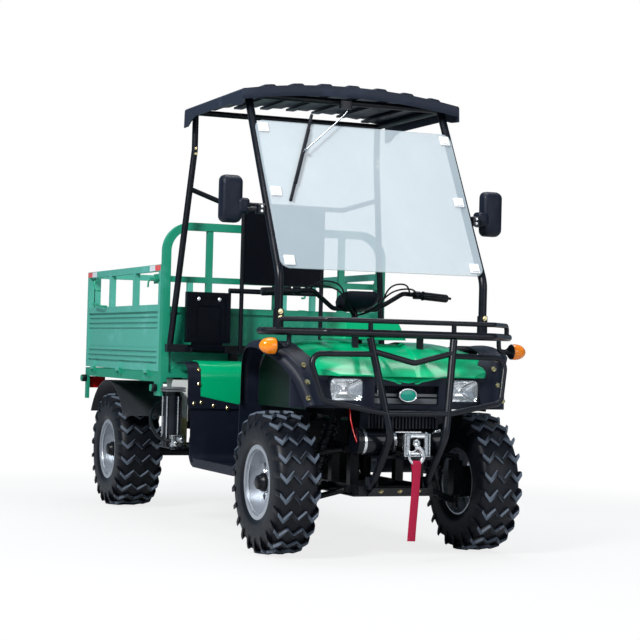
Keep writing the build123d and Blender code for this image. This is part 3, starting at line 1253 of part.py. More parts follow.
# Headboard: a square-tube arch with rails, bars and a lower panel
with BuildPart() as headboard:
    arch_x = BED_HALF_WIDTH - HEAD_TUBE / 2
    arch_y = BED_FRONT + HEAD_TUBE / 2
    arch_top = HEAD_TOP - HEAD_TUBE / 2
    foot_z = BED_RAIL_TOP + SEAT_GAP
    with BuildLine() as arch_line:
        FilletPolyline(
            (-arch_x, arch_y, foot_z),
            (-arch_x, arch_y, arch_top),
            (arch_x, arch_y, arch_top),
            (arch_x, arch_y, foot_z),
            radius=HEAD_CORNER_R,
        )
    with BuildSketch(Plane(origin=(-arch_x, arch_y, foot_z), x_dir=(1, 0, 0), z_dir=(0, 0, 1))):
        Rectangle(HEAD_TUBE, HEAD_TUBE)
    sweep()
    for z in (HEAD_MID_RAIL, HEAD_LOW_RAIL):
        beam((-arch_x, arch_y, z), (arch_x, arch_y, z), 30, 30)
    for x in (-370, 0, 370):
        beam((x, arch_y, HEAD_LOW_RAIL), (x, arch_y, arch_top), 30, 30)
    block((-arch_x, arch_x), (arch_y - 3, arch_y + 3), (foot_z, HEAD_LOW_RAIL))
save(headboard, "headboard")

# Drop sides and tailgate: a ribbed panel, with uprights and a top rail standing on it
UPRIGHTS = 2
SKIN_X = (12, 20)
RIB_RISE = 8
RIB_HEIGHT = 14
RIB_PITCH = 28
panel_z = (SIDE_BOTTOM, SIDE_PANEL_TOP)
upright_z = (SIDE_PANEL_TOP + SEAT_GAP, SIDE_TOP - SIDE_RAIL - SEAT_GAP)
top_rail_z = (SIDE_TOP - SIDE_RAIL, SIDE_TOP)
rib_rows = [SIDE_BOTTOM + SIDE_RAIL + RIB_PITCH * (n + 0.7) for n in range(3)]
rib_rows += [SIDE_PANEL_TOP - SIDE_RAIL - RIB_PITCH * (n + 0.7) for n in range(3)]
panel_rails = ((SIDE_BOTTOM, SIDE_BOTTOM + SIDE_RAIL), (SIDE_PANEL_TOP - SIDE_RAIL, SIDE_PANEL_TOP))
for name, side in (("left", 1), ("right", -1)):
    with BuildPart() as drop_side:
        wall_x = (side * (BED_HALF_WIDTH - SIDE_WALL), side * BED_HALF_WIDTH)
        for rail_z in panel_rails:
            block(wall_x, SIDE_Y, rail_z)
        block((side * (BED_HALF_WIDTH - SKIN_X[1]), side * (BED_HALF_WIDTH - SKIN_X[0])), SIDE_Y, panel_z)
        rib_x = (side * (BED_HALF_WIDTH - SKIN_X[0]), side * (BED_HALF_WIDTH - SKIN_X[0] + RIB_RISE))
        for rib_z in rib_rows:
            block(rib_x, SIDE_Y, (rib_z - RIB_HEIGHT / 2, rib_z + RIB_HEIGHT / 2))
        step = (SIDE_Y[1] - SIDE_Y[0] - SIDE_RAIL) / (UPRIGHTS + 1)
        for n in range(UPRIGHTS + 2):
            upright_y = (SIDE_Y[0] + n * step, SIDE_Y[0] + n * step + SIDE_RAIL)
            block(wall_x, upright_y, upright_z)
            if n in (0, UPRIGHTS + 1):
                block(wall_x, upright_y, panel_z)
        block(wall_x, SIDE_Y, top_rail_z)
        for y in HINGE_ROWS:
            rod_y((side * hinge_x, y, hinge_z), HINGE_SLEEVE_R, HINGE_SLEEVE_L)
            tab_x = (side * (BED_HALF_WIDTH - 4), side * (hinge_x + 4))
            block(tab_x, (y - HINGE_SLEEVE_L / 2, y + HINGE_SLEEVE_L / 2), (hinge_z + 4, hinge_z + 40))
        for y in HINGE_ROWS:
            rod_y((side * hinge_x, y, hinge_z), HINGE_PIN_R + PIN_GAP, HINGE_SLEEVE_L * 2, mode=Mode.SUBTRACT)
    save(drop_side, f"side_{name}")

with BuildPart() as tailgate:
    gate_x = (-GATE_HALF, GATE_HALF)
    for rail_z in (*panel_rails, top_rail_z):
        block(gate_x, GATE_Y, rail_z)
    block(gate_x, (GATE_Y[1] - SKIN_X[1], GATE_Y[1] - SKIN_X[0]), panel_z)
    for rib_z in rib_rows:
        rib_y = (GATE_Y[1] - SKIN_X[0], GATE_Y[1] - SKIN_X[0] + RIB_RISE)
        block(gate_x, rib_y, (rib_z - RIB_HEIGHT / 2, rib_z + RIB_HEIGHT / 2))
    for x in (-GATE_HALF, -SIDE_RAIL / 2, GATE_HALF - SIDE_RAIL):
        block((x, x + SIDE_RAIL), GATE_Y, upright_z)
        if x != -SIDE_RAIL / 2:
            block((x, x + SIDE_RAIL), GATE_Y, panel_z)
    for x in GATE_HINGES:
        rod_x((x, GATE_HINGE_Y, hinge_z), HINGE_SLEEVE_R, HINGE_SLEEVE_L)
        tab_x = (x - HINGE_SLEEVE_L / 2, x + HINGE_SLEEVE_L / 2)
        block(tab_x, (GATE_Y[1] - 4, GATE_HINGE_Y + 4), (hinge_z + 4, hinge_z + 40))
    for x in GATE_HINGES:
        rod_x((x, GATE_HINGE_Y, hinge_z), HINGE_PIN_R + PIN_GAP, HINGE_SLEEVE_L * 2, mode=Mode.SUBTRACT)
save(tailgate, "tailgate")

with BuildPart() as tail_lamps:
    for side in (1, -1):
        lamp_x = (side * (BED_HALF_WIDTH - 14), side * (BED_HALF_WIDTH - 120))
        lamp_y = (BED_REAR + SEAT_GAP, BED_REAR + TAIL_LAMP_DEPTH)
        block(lamp_x, lamp_y, (650, 716))
save(tail_lamps, "tail_lamps")

# Tilt cylinder: barrel hinged on the chassis, rod sliding in it
TILT_LUG_SHARE = 0.25
TILT_BARREL_SHARE = 0.86
TILT_BORE_SHARE = 0.3
with BuildPart() as tilt_barrel:
    barrel_start = between(TILT_FOOT, TILT_HEAD, TILT_LUG_SHARE)
    barrel_end = between(TILT_FOOT, TILT_HEAD, TILT_BARREL_SHARE)
    tube((barrel_start, barrel_end), TILT_BARREL_R)
    tube((TILT_FOOT, barrel_start), TILT_ROD_R)
    rod_x(TILT_FOOT, TILT_EYE_R, TILT_EYE_W)
    rod_x(TILT_FOOT, TILT_PIN_R + PIN_GAP, TILT_EYE_W * 2, mode=Mode.SUBTRACT)
    bore_start = between(TILT_FOOT, TILT_HEAD, TILT_BORE_SHARE)
    tube((bore_start, TILT_HEAD), TILT_ROD_R + PIN_GAP, mode=Mode.SUBTRACT)
save(tilt_barrel, "tilt_barrel")

with BuildPart() as tilt_rod:
    tube((between(TILT_FOOT, TILT_HEAD, TILT_BORE_SHARE + 0.01), TILT_HEAD), TILT_ROD_R)
    rod_x(TILT_HEAD, TILT_EYE_R, TILT_EYE_W)
    rod_x(TILT_HEAD, TILT_PIN_R, TILT_EYE_W * 2, mode=Mode.SUBTRACT)
save(tilt_rod, "tilt_rod")

# Hydraulic power unit behind the right footwell: reservoir, pump motor with cap, valve block and tray
TRAY_Z = (392, 400)
TRAY_Y = (-36, 240)
TANK_INSET = 70
OIL_TANK_SIZE = (82, 100)
OIL_TANK_Y = 132
OIL_TANK_TOP = 735
PUMP_INSET = 50
PUMP_Y = 62
PUMP_R = 46
PUMP_TOP = 650
PUMP_CAP = 24
tray_out = BED_HALF_WIDTH - 8
with BuildPart() as oil_reservoir:
    tank_out = BED_HALF_WIDTH - TANK_INSET
    tank_x = (-tank_out, -tank_out + OIL_TANK_SIZE[0])
    block(tank_x, (OIL_TANK_Y, OIL_TANK_Y + OIL_TANK_SIZE[1]), (TRAY_Z[1] + SEAT_GAP, OIL_TANK_TOP))
save(oil_reservoir, "oil_reservoir")

with BuildPart() as pump_unit:
    block((-tray_out, -RAIL_X - RAIL_SIZE / 2 - SEAT_GAP), TRAY_Y, TRAY_Z)
    pump_x = PUMP_INSET - BED_HALF_WIDTH
    rod_z((pump_x, PUMP_Y, (TRAY_Z[1] + PUMP_TOP) / 2), PUMP_R, PUMP_TOP - TRAY_Z[1])
    rod_z((pump_x, PUMP_Y, PUMP_TOP + PUMP_CAP / 2), PUMP_R - 8, PUMP_CAP)
    block((pump_x - 42, pump_x + 42), (PUMP_Y - 42, PUMP_Y + 42), (TRAY_Z[0], TRAY_Z[1] + 40))
    block((pump_x - 30, pump_x + 30), (TRAY_Y[0] + 4, PUMP_Y - 42), (TRAY_Z[0], TRAY_Z[1] + 58))
save(pump_unit, "pump_unit")

# Rear mudguards: part rings over the wheels on stays from the rear rails
MUDGUARD_X = (352, 600)
with BuildPart() as rear_mudguards:
    for side in (1, -1):
        with BuildSketch(Plane.YZ.offset(min(side * MUDGUARD_X[0], side * MUDGUARD_X[1]))):
            with Locations((REAR_AXLE_Y, AXLE_Z)):
                Circle(MUDGUARD_RADIUS)
                Circle(MUDGUARD_RADIUS - PANEL, mode=Mode.SUBTRACT)
                with Locations((0, -200)):
                    Rectangle(3 * MUDGUARD_RADIUS, 800, mode=Mode.SUBTRACT)
        extrude(amount=MUDGUARD_X[1] - MUDGUARD_X[0])
        stay_x = (side * (REAR_RAIL_X + REAR_RAIL_WIDTH / 2 + SEAT_GAP), side * (MUDGUARD_X[0] + 30))
        for stay_y in (REAR_AXLE_Y - 225, REAR_AXLE_Y + 225):
            block(stay_x, (stay_y - 15, stay_y + 15), (628, 636))
save(rear_mudguards, "rear_mudguards")
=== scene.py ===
from math import cos, pi, radians, sin

import bmesh
import bpy
import numpy as np
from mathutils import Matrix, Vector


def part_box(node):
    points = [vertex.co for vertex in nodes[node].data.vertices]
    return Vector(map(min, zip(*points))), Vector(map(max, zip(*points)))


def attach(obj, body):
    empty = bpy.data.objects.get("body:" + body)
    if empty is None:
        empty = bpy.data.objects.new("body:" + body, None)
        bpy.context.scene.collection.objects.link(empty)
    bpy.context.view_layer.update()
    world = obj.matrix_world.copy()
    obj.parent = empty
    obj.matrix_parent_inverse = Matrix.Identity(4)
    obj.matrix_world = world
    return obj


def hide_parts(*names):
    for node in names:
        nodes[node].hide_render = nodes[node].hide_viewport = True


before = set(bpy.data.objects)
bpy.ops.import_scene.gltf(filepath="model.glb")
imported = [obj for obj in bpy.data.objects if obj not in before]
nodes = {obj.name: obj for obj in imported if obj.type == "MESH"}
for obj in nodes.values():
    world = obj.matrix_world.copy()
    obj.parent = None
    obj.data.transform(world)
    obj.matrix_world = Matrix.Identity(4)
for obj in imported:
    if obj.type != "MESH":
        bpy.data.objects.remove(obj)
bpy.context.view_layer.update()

# Electric quad bike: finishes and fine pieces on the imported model, in metres.
# The vehicle faces -Y, +Z is up and its own left side is +X.

SIDES = (("left", 1), ("right", -1))
FRONT = (0, -1, 0)

# The photograph's viewpoint
CAMERA_PLACE = (-3.2831, -8.3035, 0.9075)
CAMERA_AZIMUTH = -22.74319
CAMERA_ELEVATION = -0.97093
CAMERA_ROLL = 1.48852
FOCAL_PIXELS = 1734.1026
PHOTO_WIDTH = 640
SENSOR_MM = 36


def unit(v):
    """Vectors scaled to length 1 along the last axis."""
    v = np.asarray(v, float)
    return v / np.linalg.norm(v, axis=-1, keepdims=True)


def photo_camera():
    """A camera turned by azimuth and elevation about the upright axis, then rolled about its own view
    line."""
    data = bpy.data.cameras.new("camera")
    data.sensor_width = SENSOR_MM
    data.lens = SENSOR_MM * FOCAL_PIXELS / PHOTO_WIDTH
    azimuth, elevation, roll = (radians(a) for a in (CAMERA_AZIMUTH, CAMERA_ELEVATION, CAMERA_ROLL))
    back = np.array([sin(azimuth) * cos(elevation), -cos(azimuth) * cos(elevation), sin(elevation)])
    right = np.array([cos(azimuth), sin(azimuth), 0])
    up = np.cross(back, right)
    matrix = np.eye(4)
    matrix[:3, 0] = right * cos(roll) + up * sin(roll)
    matrix[:3, 1] = up * cos(roll) - right * sin(roll)
    matrix[:3, 2] = back
    matrix[:3, 3] = CAMERA_PLACE
    camera = bpy.data.objects.new("camera", data)
    camera.matrix_world = matrix.T.tolist()
    bpy.context.collection.objects.link(camera)
    bpy.context.scene.camera = camera


class Wire:
    """A shader socket that stands in Python sums: each operator adds the Math node that it names."""

    def __init__(self, finish, socket):
        self.finish = finish
        self.socket = socket

    def _sum(self, operation, first, second):
        return self.finish.node("ShaderNodeMath", {"operation": operation}, {0: first, 1: second})

    def __add__(self, other):
        return self._sum("ADD", self, other)

    def __sub__(self, other):
        return self._sum("SUBTRACT", self, other)

    def __rsub__(self, other):
        return self._sum("SUBTRACT", other, self)

    def __mul__(self, other):
        return self._sum("MULTIPLY", self, other)

    def __pow__(self, other):
        return self._sum("POWER", self, other)

    def sine(self):
        return self._sum("SINE", self, 0)

    def size(self):
        return self._sum("ABSOLUTE", self, 0)

    def between(self, low, high):
        """0 at low, 1 at high, smooth in between."""
        return self.finish.node(
            "ShaderNodeMapRange",
            {"interpolation_type": "SMOOTHSTEP"},
            {"Value": self, "From Min": low, "From Max": high},
        )


class Finish:
    """A material under way: its main shader, and the nodes that feed it."""

    def __init__(self, name, **constants):
        self.material = bpy.data.materials.new(name)
        self.material.use_nodes = True
        self.tree = self.material.node_tree
        self.shader = self.tree.nodes["Principled BSDF"]
        for key, value in constants.items():
            self.shader.inputs[key.replace("_", " ")].default_value = value

    def node(self, kind, settings=None, inputs=None, output=0):
        """Any node: its settings first, then the values or links of its sockets."""
        made = self.tree.nodes.new(kind)
        for key, value in (settings or {}).items():
            setattr(made, key, value)
        for key, value in (inputs or {}).items():
            if isinstance(value, Wire):
                self.tree.links.new(value.socket, made.inputs[key])
            else:
                made.inputs[key].default_value = value
        return Wire(self, made.outputs[output])

    def place(self, stretch=(1, 1, 1)):
        """The piece's own coordinates, stretched along each axis."""
        raw = self.node("ShaderNodeTexCoord", output="Object")
        return self.node("ShaderNodeMapping", {}, {"Vector": raw, "Scale": stretch})

    def along(self, axis):
        """One of the piece's own coordinates, x, y or z."""
        raw = self.node("ShaderNodeTexCoord", output="Object")
        return self.node("ShaderNodeSeparateXYZ", {}, {0: raw}, output="XYZ".index(axis))

    def noise(self, scale, detail=3.0, stretch=(1, 1, 1)):
        """Soft random spots, scale of them to a metre."""
        inputs = {"Vector": self.place(stretch), "Scale": scale, "Detail": detail}
        return self.node("ShaderNodeTexNoise", {}, inputs)

    def cells(self, scale):
        """Distance to the nearest of scale random points to a metre."""
        return self.node("ShaderNodeTexVoronoi", {}, {"Vector": self.place(), "Scale": scale})

    def blend(self, share, first, second):
        """A colour that goes from the first to the second by share."""
        inputs = {0: share, 6: first, 7: second}
        return self.node("ShaderNodeMix", {"data_type": "RGBA"}, inputs, output=2)

    def feed(self, **wires):
        """Link wires into the main shader's sockets."""
        for key, wire in wires.items():
            self.tree.links.new(wire.socket, self.shader.inputs[key.replace("_", " ")])
        return self

    def relief(self, height, depth, strength=1.0):
        """Bump from a height of 0 to 1 that stands for depth metres."""
        inputs = {"Height": height, "Distance": depth, "Strength": strength}
        self.feed(Normal=self.node("ShaderNodeBump", {}, inputs))
        return self


def rgb(r, g, b):
    """A colour with full cover."""
    return (r, g, b, 1.0)


def powder_coat(name, colour, dust, shine=0.26):
    """Sprayed powder on steel: a fine orange-peel skin with a thin film of dust in patches."""
    finish = Finish(name, Specular_IOR_Level=shine)
    patches = finish.noise(6, 5).between(0.45, 0.75)
    peel = finish.noise(420, 2)
    finish.feed(
        Base_Color=finish.blend(patches, rgb(*colour), rgb(*dust)),
        Roughness=finish.noise(30, 3) * 0.14 + 0.24 + patches * 0.08,
    )
    return finish.relief(peel, 0.00025).material


def moulded_plastic(name, colour, pale, grain=900, rough=0.42):
    """Grained plastic: a fine leathery mould texture, paler where it is scuffed and dusty."""
    finish = Finish(name, Specular_IOR_Level=0.2)
    scuffs = finish.noise(9, 6).between(0.5, 0.8)
    finish.feed(
        Base_Color=finish.blend(scuffs, rgb(*colour), rgb(*pale)),
        Roughness=finish.noise(40, 3) * 0.12 + rough - 0.04,
    )
    return finish.relief(finish.cells(grain), 0.00018).material


def gloss_panel(name, colour, deep):
    """Gloss-coloured plastic: nearly even colour under a clear hard shine, with faint ripples."""
    finish = Finish(name, Specular_IOR_Level=0.24)
    tone = finish.noise(5, 2)
    finish.feed(
        Base_Color=finish.blend(tone, rgb(*colour), rgb(*deep)),
        Roughness=finish.noise(60, 4) * 0.08 + 0.16,
        Coat_Weight=finish.noise(12, 2) * 0.08 + 0.06,
    )
    return finish.relief(finish.noise(14, 1), 0.00012).material


def sprayed_sheet(name, colour, worn_and_sky_sheen):
    """Sprayed sheet steel: soft runs in the paint, scratches along the bed and rubbed patches, whose paler,
    bluer colour is partly real wear and partly a painted reflection of the sky.
    """
    finish = Finish(name, IOR=1.45)
    rubbed = finish.noise(7, 6).between(0.55, 0.8)
    scratches = finish.noise(90, 4, (1, 0.05, 1)).between(0.66, 0.74)
    # Rubbed patches and scratches turn the paint paler and bluer: partly real wear, partly a painted
    # reflection of the sky.
    wear_and_sky_sheen = rubbed * 0.6 + scratches * 0.25
    finish.feed(
        Base_Color=finish.blend(wear_and_sky_sheen, rgb(*colour), rgb(*worn_and_sky_sheen)),
        Roughness=finish.noise(25, 4) * 0.2 + 0.34,
    )
    return finish.relief(finish.noise(240, 2), 0.0003).material


def tyre_rubber():
    """Black rubber with a fine mould grain, and a painted pale blue highlight in patches on the flanks of the
    bars.
    """
    finish = Finish("tyre_rubber", Specular_IOR_Level=0.22)
    ahead = finish.along("Y").size() - 1.175
    above = finish.along("Z") - 0.3175
    radius = (ahead ** 2 + above ** 2) ** 0.5
    flank = radius.between(0.3005, 0.305) * (1 - radius.between(0.3135, 0.3165))
    # Painted highlight: the flanks of the bars turn pale blue in patches, as where light catches their edges.
    dust = flank * (finish.noise(11, 6) * 0.6 + 0.5)
    finish.feed(
        Base_Color=finish.blend(dust, rgb(0.003, 0.004, 0.007), rgb(0.115, 0.14, 0.18)),
        Roughness=finish.noise(50, 4) * 0.16 + 0.34,
    )
    return finish.relief(finish.noise(600, 3), 0.0003).material


def silver_wheel():
    """Silver lacquer on pressed steel: metal flake and a haze of brake dust."""
    finish = Finish("silver_wheel", IOR=1.5)
    haze = finish.noise(14, 5).between(0.45, 0.8)
    flake = finish.cells(1500)
    finish.feed(
        Base_Color=finish.blend(haze, rgb(0.47, 0.50, 0.54), rgb(0.34, 0.36, 0.40)),
        Metallic=0.75 - haze * 0.3,
        Roughness=flake * 0.1 + 0.3,
    )
    return finish.relief(finish.noise(300, 2), 0.0002).material


def plated_steel(name, colour, rough=0.26):
    """Zinc plate: bright metal with a mottled crystal tone and fine scratches."""
    finish = Finish(name, Metallic=1.0)
    mottle = finish.cells(160)
    finish.feed(
        Base_Color=finish.blend(mottle, rgb(*colour), rgb(*[c * 0.72 for c in colour])),
        Roughness=finish.noise(80, 4) * 0.16 + rough - 0.08,
    )
    return finish.relief(finish.noise(500, 2), 0.0001).material


def milky_screen():
    """Clear plastic sheet under its milky film: mostly white, a little see-through, with faint streaks."""
    finish = Finish("milky_screen", IOR=1.49, Roughness=0.16)
    streaks = finish.noise(3, 4, (1, 1, 0.3)).between(0.3, 0.8)
    finish.feed(
        Base_Color=finish.blend(streaks, rgb(0.44, 0.51, 0.55), rgb(0.50, 0.56, 0.59)),
        Alpha=streaks * 0.04 + 0.5,
    )
    return finish.material


def lamp_glass():
    """Clear ribbed lamp cover."""
    finish = Finish("lamp_glass", IOR=1.5, Roughness=0.04)
    ribs = (finish.along("X") * 900).sine() * 0.5 + 0.5
    finish.feed(
        Base_Color=finish.blend(ribs, rgb(0.78, 0.82, 0.86), rgb(0.95, 0.97, 1.0)),
        Alpha=ribs * 0.08 + 0.16,
    )
    return finish.relief(ribs, 0.0004, 0.5).material


def lens(name, colour, deep):
    """Coloured lamp plastic with moulded prisms."""
    finish = Finish(name, IOR=1.5, Roughness=0.12)
    prisms = (finish.along("Z") * 700).sine() * (finish.along("Y") * 700).sine() * 0.5 + 0.5
    finish.feed(Base_Color=finish.blend(prisms, rgb(*deep), rgb(*colour)))
    return finish.relief(prisms, 0.0003).material


def seat_vinyl():
    """Black seat vinyl: pebbled grain, duller where it is sat on."""
    finish = Finish("seat_vinyl", Specular_IOR_Level=0.35)
    rubbed = finish.noise(8, 3).between(0.4, 0.7)
    finish.feed(
        Base_Color=finish.blend(rubbed, rgb(0.012, 0.012, 0.014), rgb(0.024, 0.024, 0.027)),
        Roughness=rubbed * 0.14 + 0.4,
    )
    along_seams = (finish.along("X").size() - 0.092).size().between(0.0, 0.004)
    cross_seams = ((finish.along("Y") + 0.42).size() - 0.13).size().between(0.0, 0.004)
    grain = finish.cells(520) * 0.15
    return finish.relief(along_seams * cross_seams + grain, 0.0022).material


def red_webbing():
    """Woven red strap: fine ribs across and a twill along it, darker at the edges of each yarn."""
    finish = Finish("red_webbing", Roughness=0.75, IOR=1.4)
    weft = (finish.along("Z") * 2600).sine() * 0.5 + 0.5
    warp = (finish.along("X") * 3400 + finish.along("Z") * 900).sine() * 0.5 + 0.5
    weave = weft * 0.6 + warp * 0.4
    finish.feed(Base_Color=finish.blend(weave, rgb(0.26, 0.001, 0.022), rgb(0.46, 0.004, 0.05)))
    return finish.relief(weave, 0.0006).material


def milky_tank():
    """Translucent white plastic, yellow where the oil stands behind it."""
    finish = Finish("milky_tank", IOR=1.48, Roughness=0.35)
    low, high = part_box("oil_reservoir")
    level = low[2] + (high[2] - low[2]) * 0.42
    oil = finish.along("Z").between(level - 0.01, level + 0.01)
    cloud = finish.noise(10, 3) * 0.15
    tone = finish.blend(oil, rgb(0.62, 0.56, 0.24), rgb(0.78, 0.80, 0.78))
    finish.feed(Base_Color=finish.blend(cloud, tone, rgb(0.62, 0.64, 0.6)))
    return finish.relief(finish.noise(120, 2), 0.0003).material


def mirror_face():
    """Silvered mirror glass with a faint film of dust."""
    finish = Finish("mirror_face", Metallic=1.0)
    dust = finish.noise(20, 4)
    finish.feed(
        Base_Color=finish.blend(dust, rgb(0.86, 0.88, 0.9), rgb(0.76, 0.78, 0.8)),
        Roughness=dust * 0.05 + 0.02,
    )
    return finish.material


def warning_tape(name, colour, pale):
    """Reflective tape: a honeycomb of tiny cells under a glossy film."""
    finish = Finish(name, IOR=1.5, Roughness=0.25)
    comb = finish.cells(420).between(0.2, 0.5)
    finish.feed(Base_Color=finish.blend(comb, rgb(*pale), rgb(*colour)))
    return finish.relief(comb, 0.0002).material


BLACK_TUBE = powder_coat("black_tube", (0.0025, 0.0035, 0.0065), (0.006, 0.0075, 0.012))
# The tubes' powder coat again, darker and with less shine, as painted shade on the back guard and jump seat.
SHADED_BLACK_PANEL = powder_coat("black_panel_shaded", (0.0015, 0.0022, 0.005), (0.003, 0.0042, 0.008), 0.08)
BLACK_IRON = powder_coat("black_iron", (0.003, 0.0035, 0.005), (0.010, 0.011, 0.013), 0.2)
NAVY_PLASTIC = moulded_plastic("navy_plastic", (0.0045, 0.0070, 0.0155), (0.010, 0.014, 0.026))
ROOF_PLASTIC = moulded_plastic("roof_plastic", (0.010, 0.014, 0.027), (0.022, 0.029, 0.05), rough=0.36)
GUARD_PLASTIC = moulded_plastic("guard_plastic", (0.030, 0.031, 0.036), (0.075, 0.077, 0.086))
# Green plastic of the arch liners, made nearly black as painted shade inside the arches.
SHADED_LINER_GREEN = moulded_plastic("liner_green_shaded", (0.001, 0.014, 0.007), (0.003, 0.024, 0.013))
GLOSS_GREEN = gloss_panel("gloss_green", (0.0, 0.39, 0.165), (0.0, 0.32, 0.125))
# The bed's green paint in two copies: the first darker, as painted shade like that of the roof on the
# headboard, for the deck, headboard and small fittings; the second paler and bluer, as painted light and sky
# reflection, for the sides and tailgate.
SHADED_BED_GREEN = sprayed_sheet("bed_green_shaded", (0.008, 0.25, 0.145), (0.06, 0.37, 0.27))
LIT_SIDE_GREEN = sprayed_sheet("side_green_lit", (0.075, 0.37, 0.285), (0.19, 0.52, 0.48))
TYRE_RUBBER = tyre_rubber()
BLACK_RUBBER = moulded_plastic("black_rubber", (0.003, 0.004, 0.006), (0.008, 0.009, 0.012), 600)
WINCH_BLACK = gloss_panel("winch_black", (0.004, 0.005, 0.008), (0.002, 0.003, 0.005))
SILVER_WHEEL = silver_wheel()
ZINC = plated_steel("zinc", (0.72, 0.74, 0.76))
BRASS_ZINC = plated_steel("yellow_zinc", (0.72, 0.62, 0.34))
CHROME_ROD = plated_steel("chrome_rod", (0.8, 0.81, 0.82), 0.14)
MILKY_SCREEN = milky_screen()
LAMP_GLASS = lamp_glass()
AMBER_LENS = lens("amber_lens", (0.88, 0.25, 0.004), (0.70, 0.16, 0.001))
RED_LENS = lens("red_lens", (0.62, 0.012, 0.012), (0.32, 0.004, 0.004))
SEAT_VINYL = seat_vinyl()
RED_WEBBING = red_webbing()
MILKY_TANK = milky_tank()
MIRROR_FACE = mirror_face()
RED_TAPE = warning_tape("red_tape", (0.72, 0.06, 0.05), (0.8, 0.2, 0.17))
WHITE_TAPE = warning_tape("white_tape", (0.74, 0.76, 0.78), (0.62, 0.65, 0.69))
GREY_PLASTIC = moulded_plastic("grey_plastic", (0.10, 0.11, 0.12), (0.16, 0.17, 0.18), rough=0.34)
WHITE_PLASTIC = moulded_plastic("white_plastic", (0.72, 0.73, 0.74), (0.62, 0.63, 0.64), rough=0.36)
TEAL_ENAMEL = gloss_panel("teal_enamel", (0.005, 0.27, 0.19), (0.003, 0.20, 0.14))
DISPLAY = gloss_panel("display", (0.030, 0.042, 0.058), (0.014, 0.020, 0.030))
REFLECTOR = plated_steel("reflector", (0.86, 0.88, 0.9), 0.14)

NODE_FINISHES = {
    BLACK_TUBE: (
        "front_rack", "bull_bar", "front_cage", "rear_cage", "handlebar", "front_shocks",
        "winch_controller", "pump_unit", "tilt_barrel", "skid_plate",
    ),
    SHADED_BLACK_PANEL: ("back_guard", "jump_seat"),
    WINCH_BLACK: ("winch",),
    BLACK_IRON: (
        "chassis_frame", "front_arms", "rear_axle", "rear_springs", "battery_pack", "knuckle_left",
        "knuckle_right",
    ),
    NAVY_PLASTIC: (
        "footwell_left", "footwell_right", "rear_flares", "front_fenders", "centre_body", "front_fascia",
        "grille", "mirrors", "instrument_pod",
    ),
    ROOF_PLASTIC: ("roof_panel",),
    GUARD_PLASTIC: ("rear_mudguards",),
    SHADED_LINER_GREEN: ("arch_liners",),
    GLOSS_GREEN: ("hood", "tank_cover", "side_covers"),
    SHADED_BED_GREEN: ("bed_deck", "headboard"),
    LIT_SIDE_GREEN: ("side_left", "side_right", "tailgate"),
    TYRE_RUBBER: ("tyre_fl", "tyre_fr", "tyre_rl", "tyre_rr"),
    SILVER_WHEEL: ("rim_fl", "rim_fr", "rim_rl", "rim_rr"),
    ZINC: ("winch_fairlead", "winch_hook"),
    CHROME_ROD: ("tilt_rod",),
    MILKY_SCREEN: ("windscreen",),
    LAMP_GLASS: ("headlamps",),
    AMBER_LENS: ("indicators",),
    RED_LENS: ("tail_lamps",),
    SEAT_VINYL: ("seat",),
    RED_WEBBING: ("winch_strap",),
    MILKY_TANK: ("oil_reservoir",),
}
for material, names in NODE_FINISHES.items():
    for name in names:
        nodes[name].data.materials.clear()
        nodes[name].data.materials.append(material)


# Surfaces: grids of points made by formulas, joined into pieces
class Shell:
    """One grid of points, or many of the same layout: an array of shape (..., rows, columns, 3)."""

    def __init__(self, points, ring=False):
        self.points = np.asarray(points, float)
        self.ring = ring

    def quads(self):
        """Corner numbers of the quads; the last column joins the first, and a ring's last row its first."""
        rows, cols = self.points.shape[-3:-1]
        row, col = np.meshgrid(np.arange(rows if self.ring else rows - 1), np.arange(cols), indexing="ij")
        row_on, col_on = (row + 1) % rows, (col + 1) % cols
        corners = (row * cols + col, row_on * cols + col, row_on * cols + col_on, row * cols + col_on)
        return np.stack(corners, axis=-1).reshape(-1, 4)


def put(name, shells, finish, body="chassis", replaces=(), sharp=38):
    """One piece from its shells: doubled points merged, faces turned outward, edges sharper than sharp
    kept."""
    points, faces, start = [], [], 0
    for shell in shells:
        size = int(np.prod(shell.points.shape[-3:-1]))
        grids = shell.points.reshape(-1, size, 3)
        offsets = start + np.arange(len(grids))[:, None, None] * size
        faces.append((shell.quads() + offsets).reshape(-1, 4))
        points.append(grids.reshape(-1, 3))
        start += len(grids) * size
    mesh = bpy.data.meshes.new(name)
    mesh.from_pydata(np.concatenate(points).tolist(), [], np.concatenate(faces).tolist())
    work = bmesh.new()
    work.from_mesh(mesh)
    bmesh.ops.remove_doubles(work, verts=work.verts, dist=2e-5)
    bmesh.ops.dissolve_degenerate(work, edges=work.edges, dist=1e-6)
    bmesh.ops.recalc_face_normals(work, faces=work.faces)
    work.to_mesh(mesh)
    work.free()
    mesh.shade_smooth()
    mesh.set_sharp_from_angle(angle=radians(sharp))
    mesh.materials.append(finish)
    piece = bpy.data.objects.new(name, mesh)
    bpy.context.collection.objects.link(piece)
    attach(piece, body)
    if replaces:
        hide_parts(*replaces)
    return piece


def mirrored(points, side):
    """Points of the left side, or with side -1 their mirror images on the right."""
    return np.asarray(points, float) * (side, 1, 1)


def both(points):
    """Points of the left side together with their mirror images."""
    return np.stack([mirrored(points, side) for _, side in SIDES])


def standing(flat, depth=0):
    """Flat points (across, up) stood up to face the front, each at its depth."""
    return np.stack([flat[..., 0], np.broadcast_to(depth, flat.shape[:-1]), flat[..., 1]], axis=-1)


def capped(rows):
    """A grid whose first and last rows are closed at their middles."""
    ends = np.repeat(rows.mean(1)[[0, -1], None], rows.shape[1], axis=1)
    return np.concatenate([ends[:1], rows, ends[1:]])


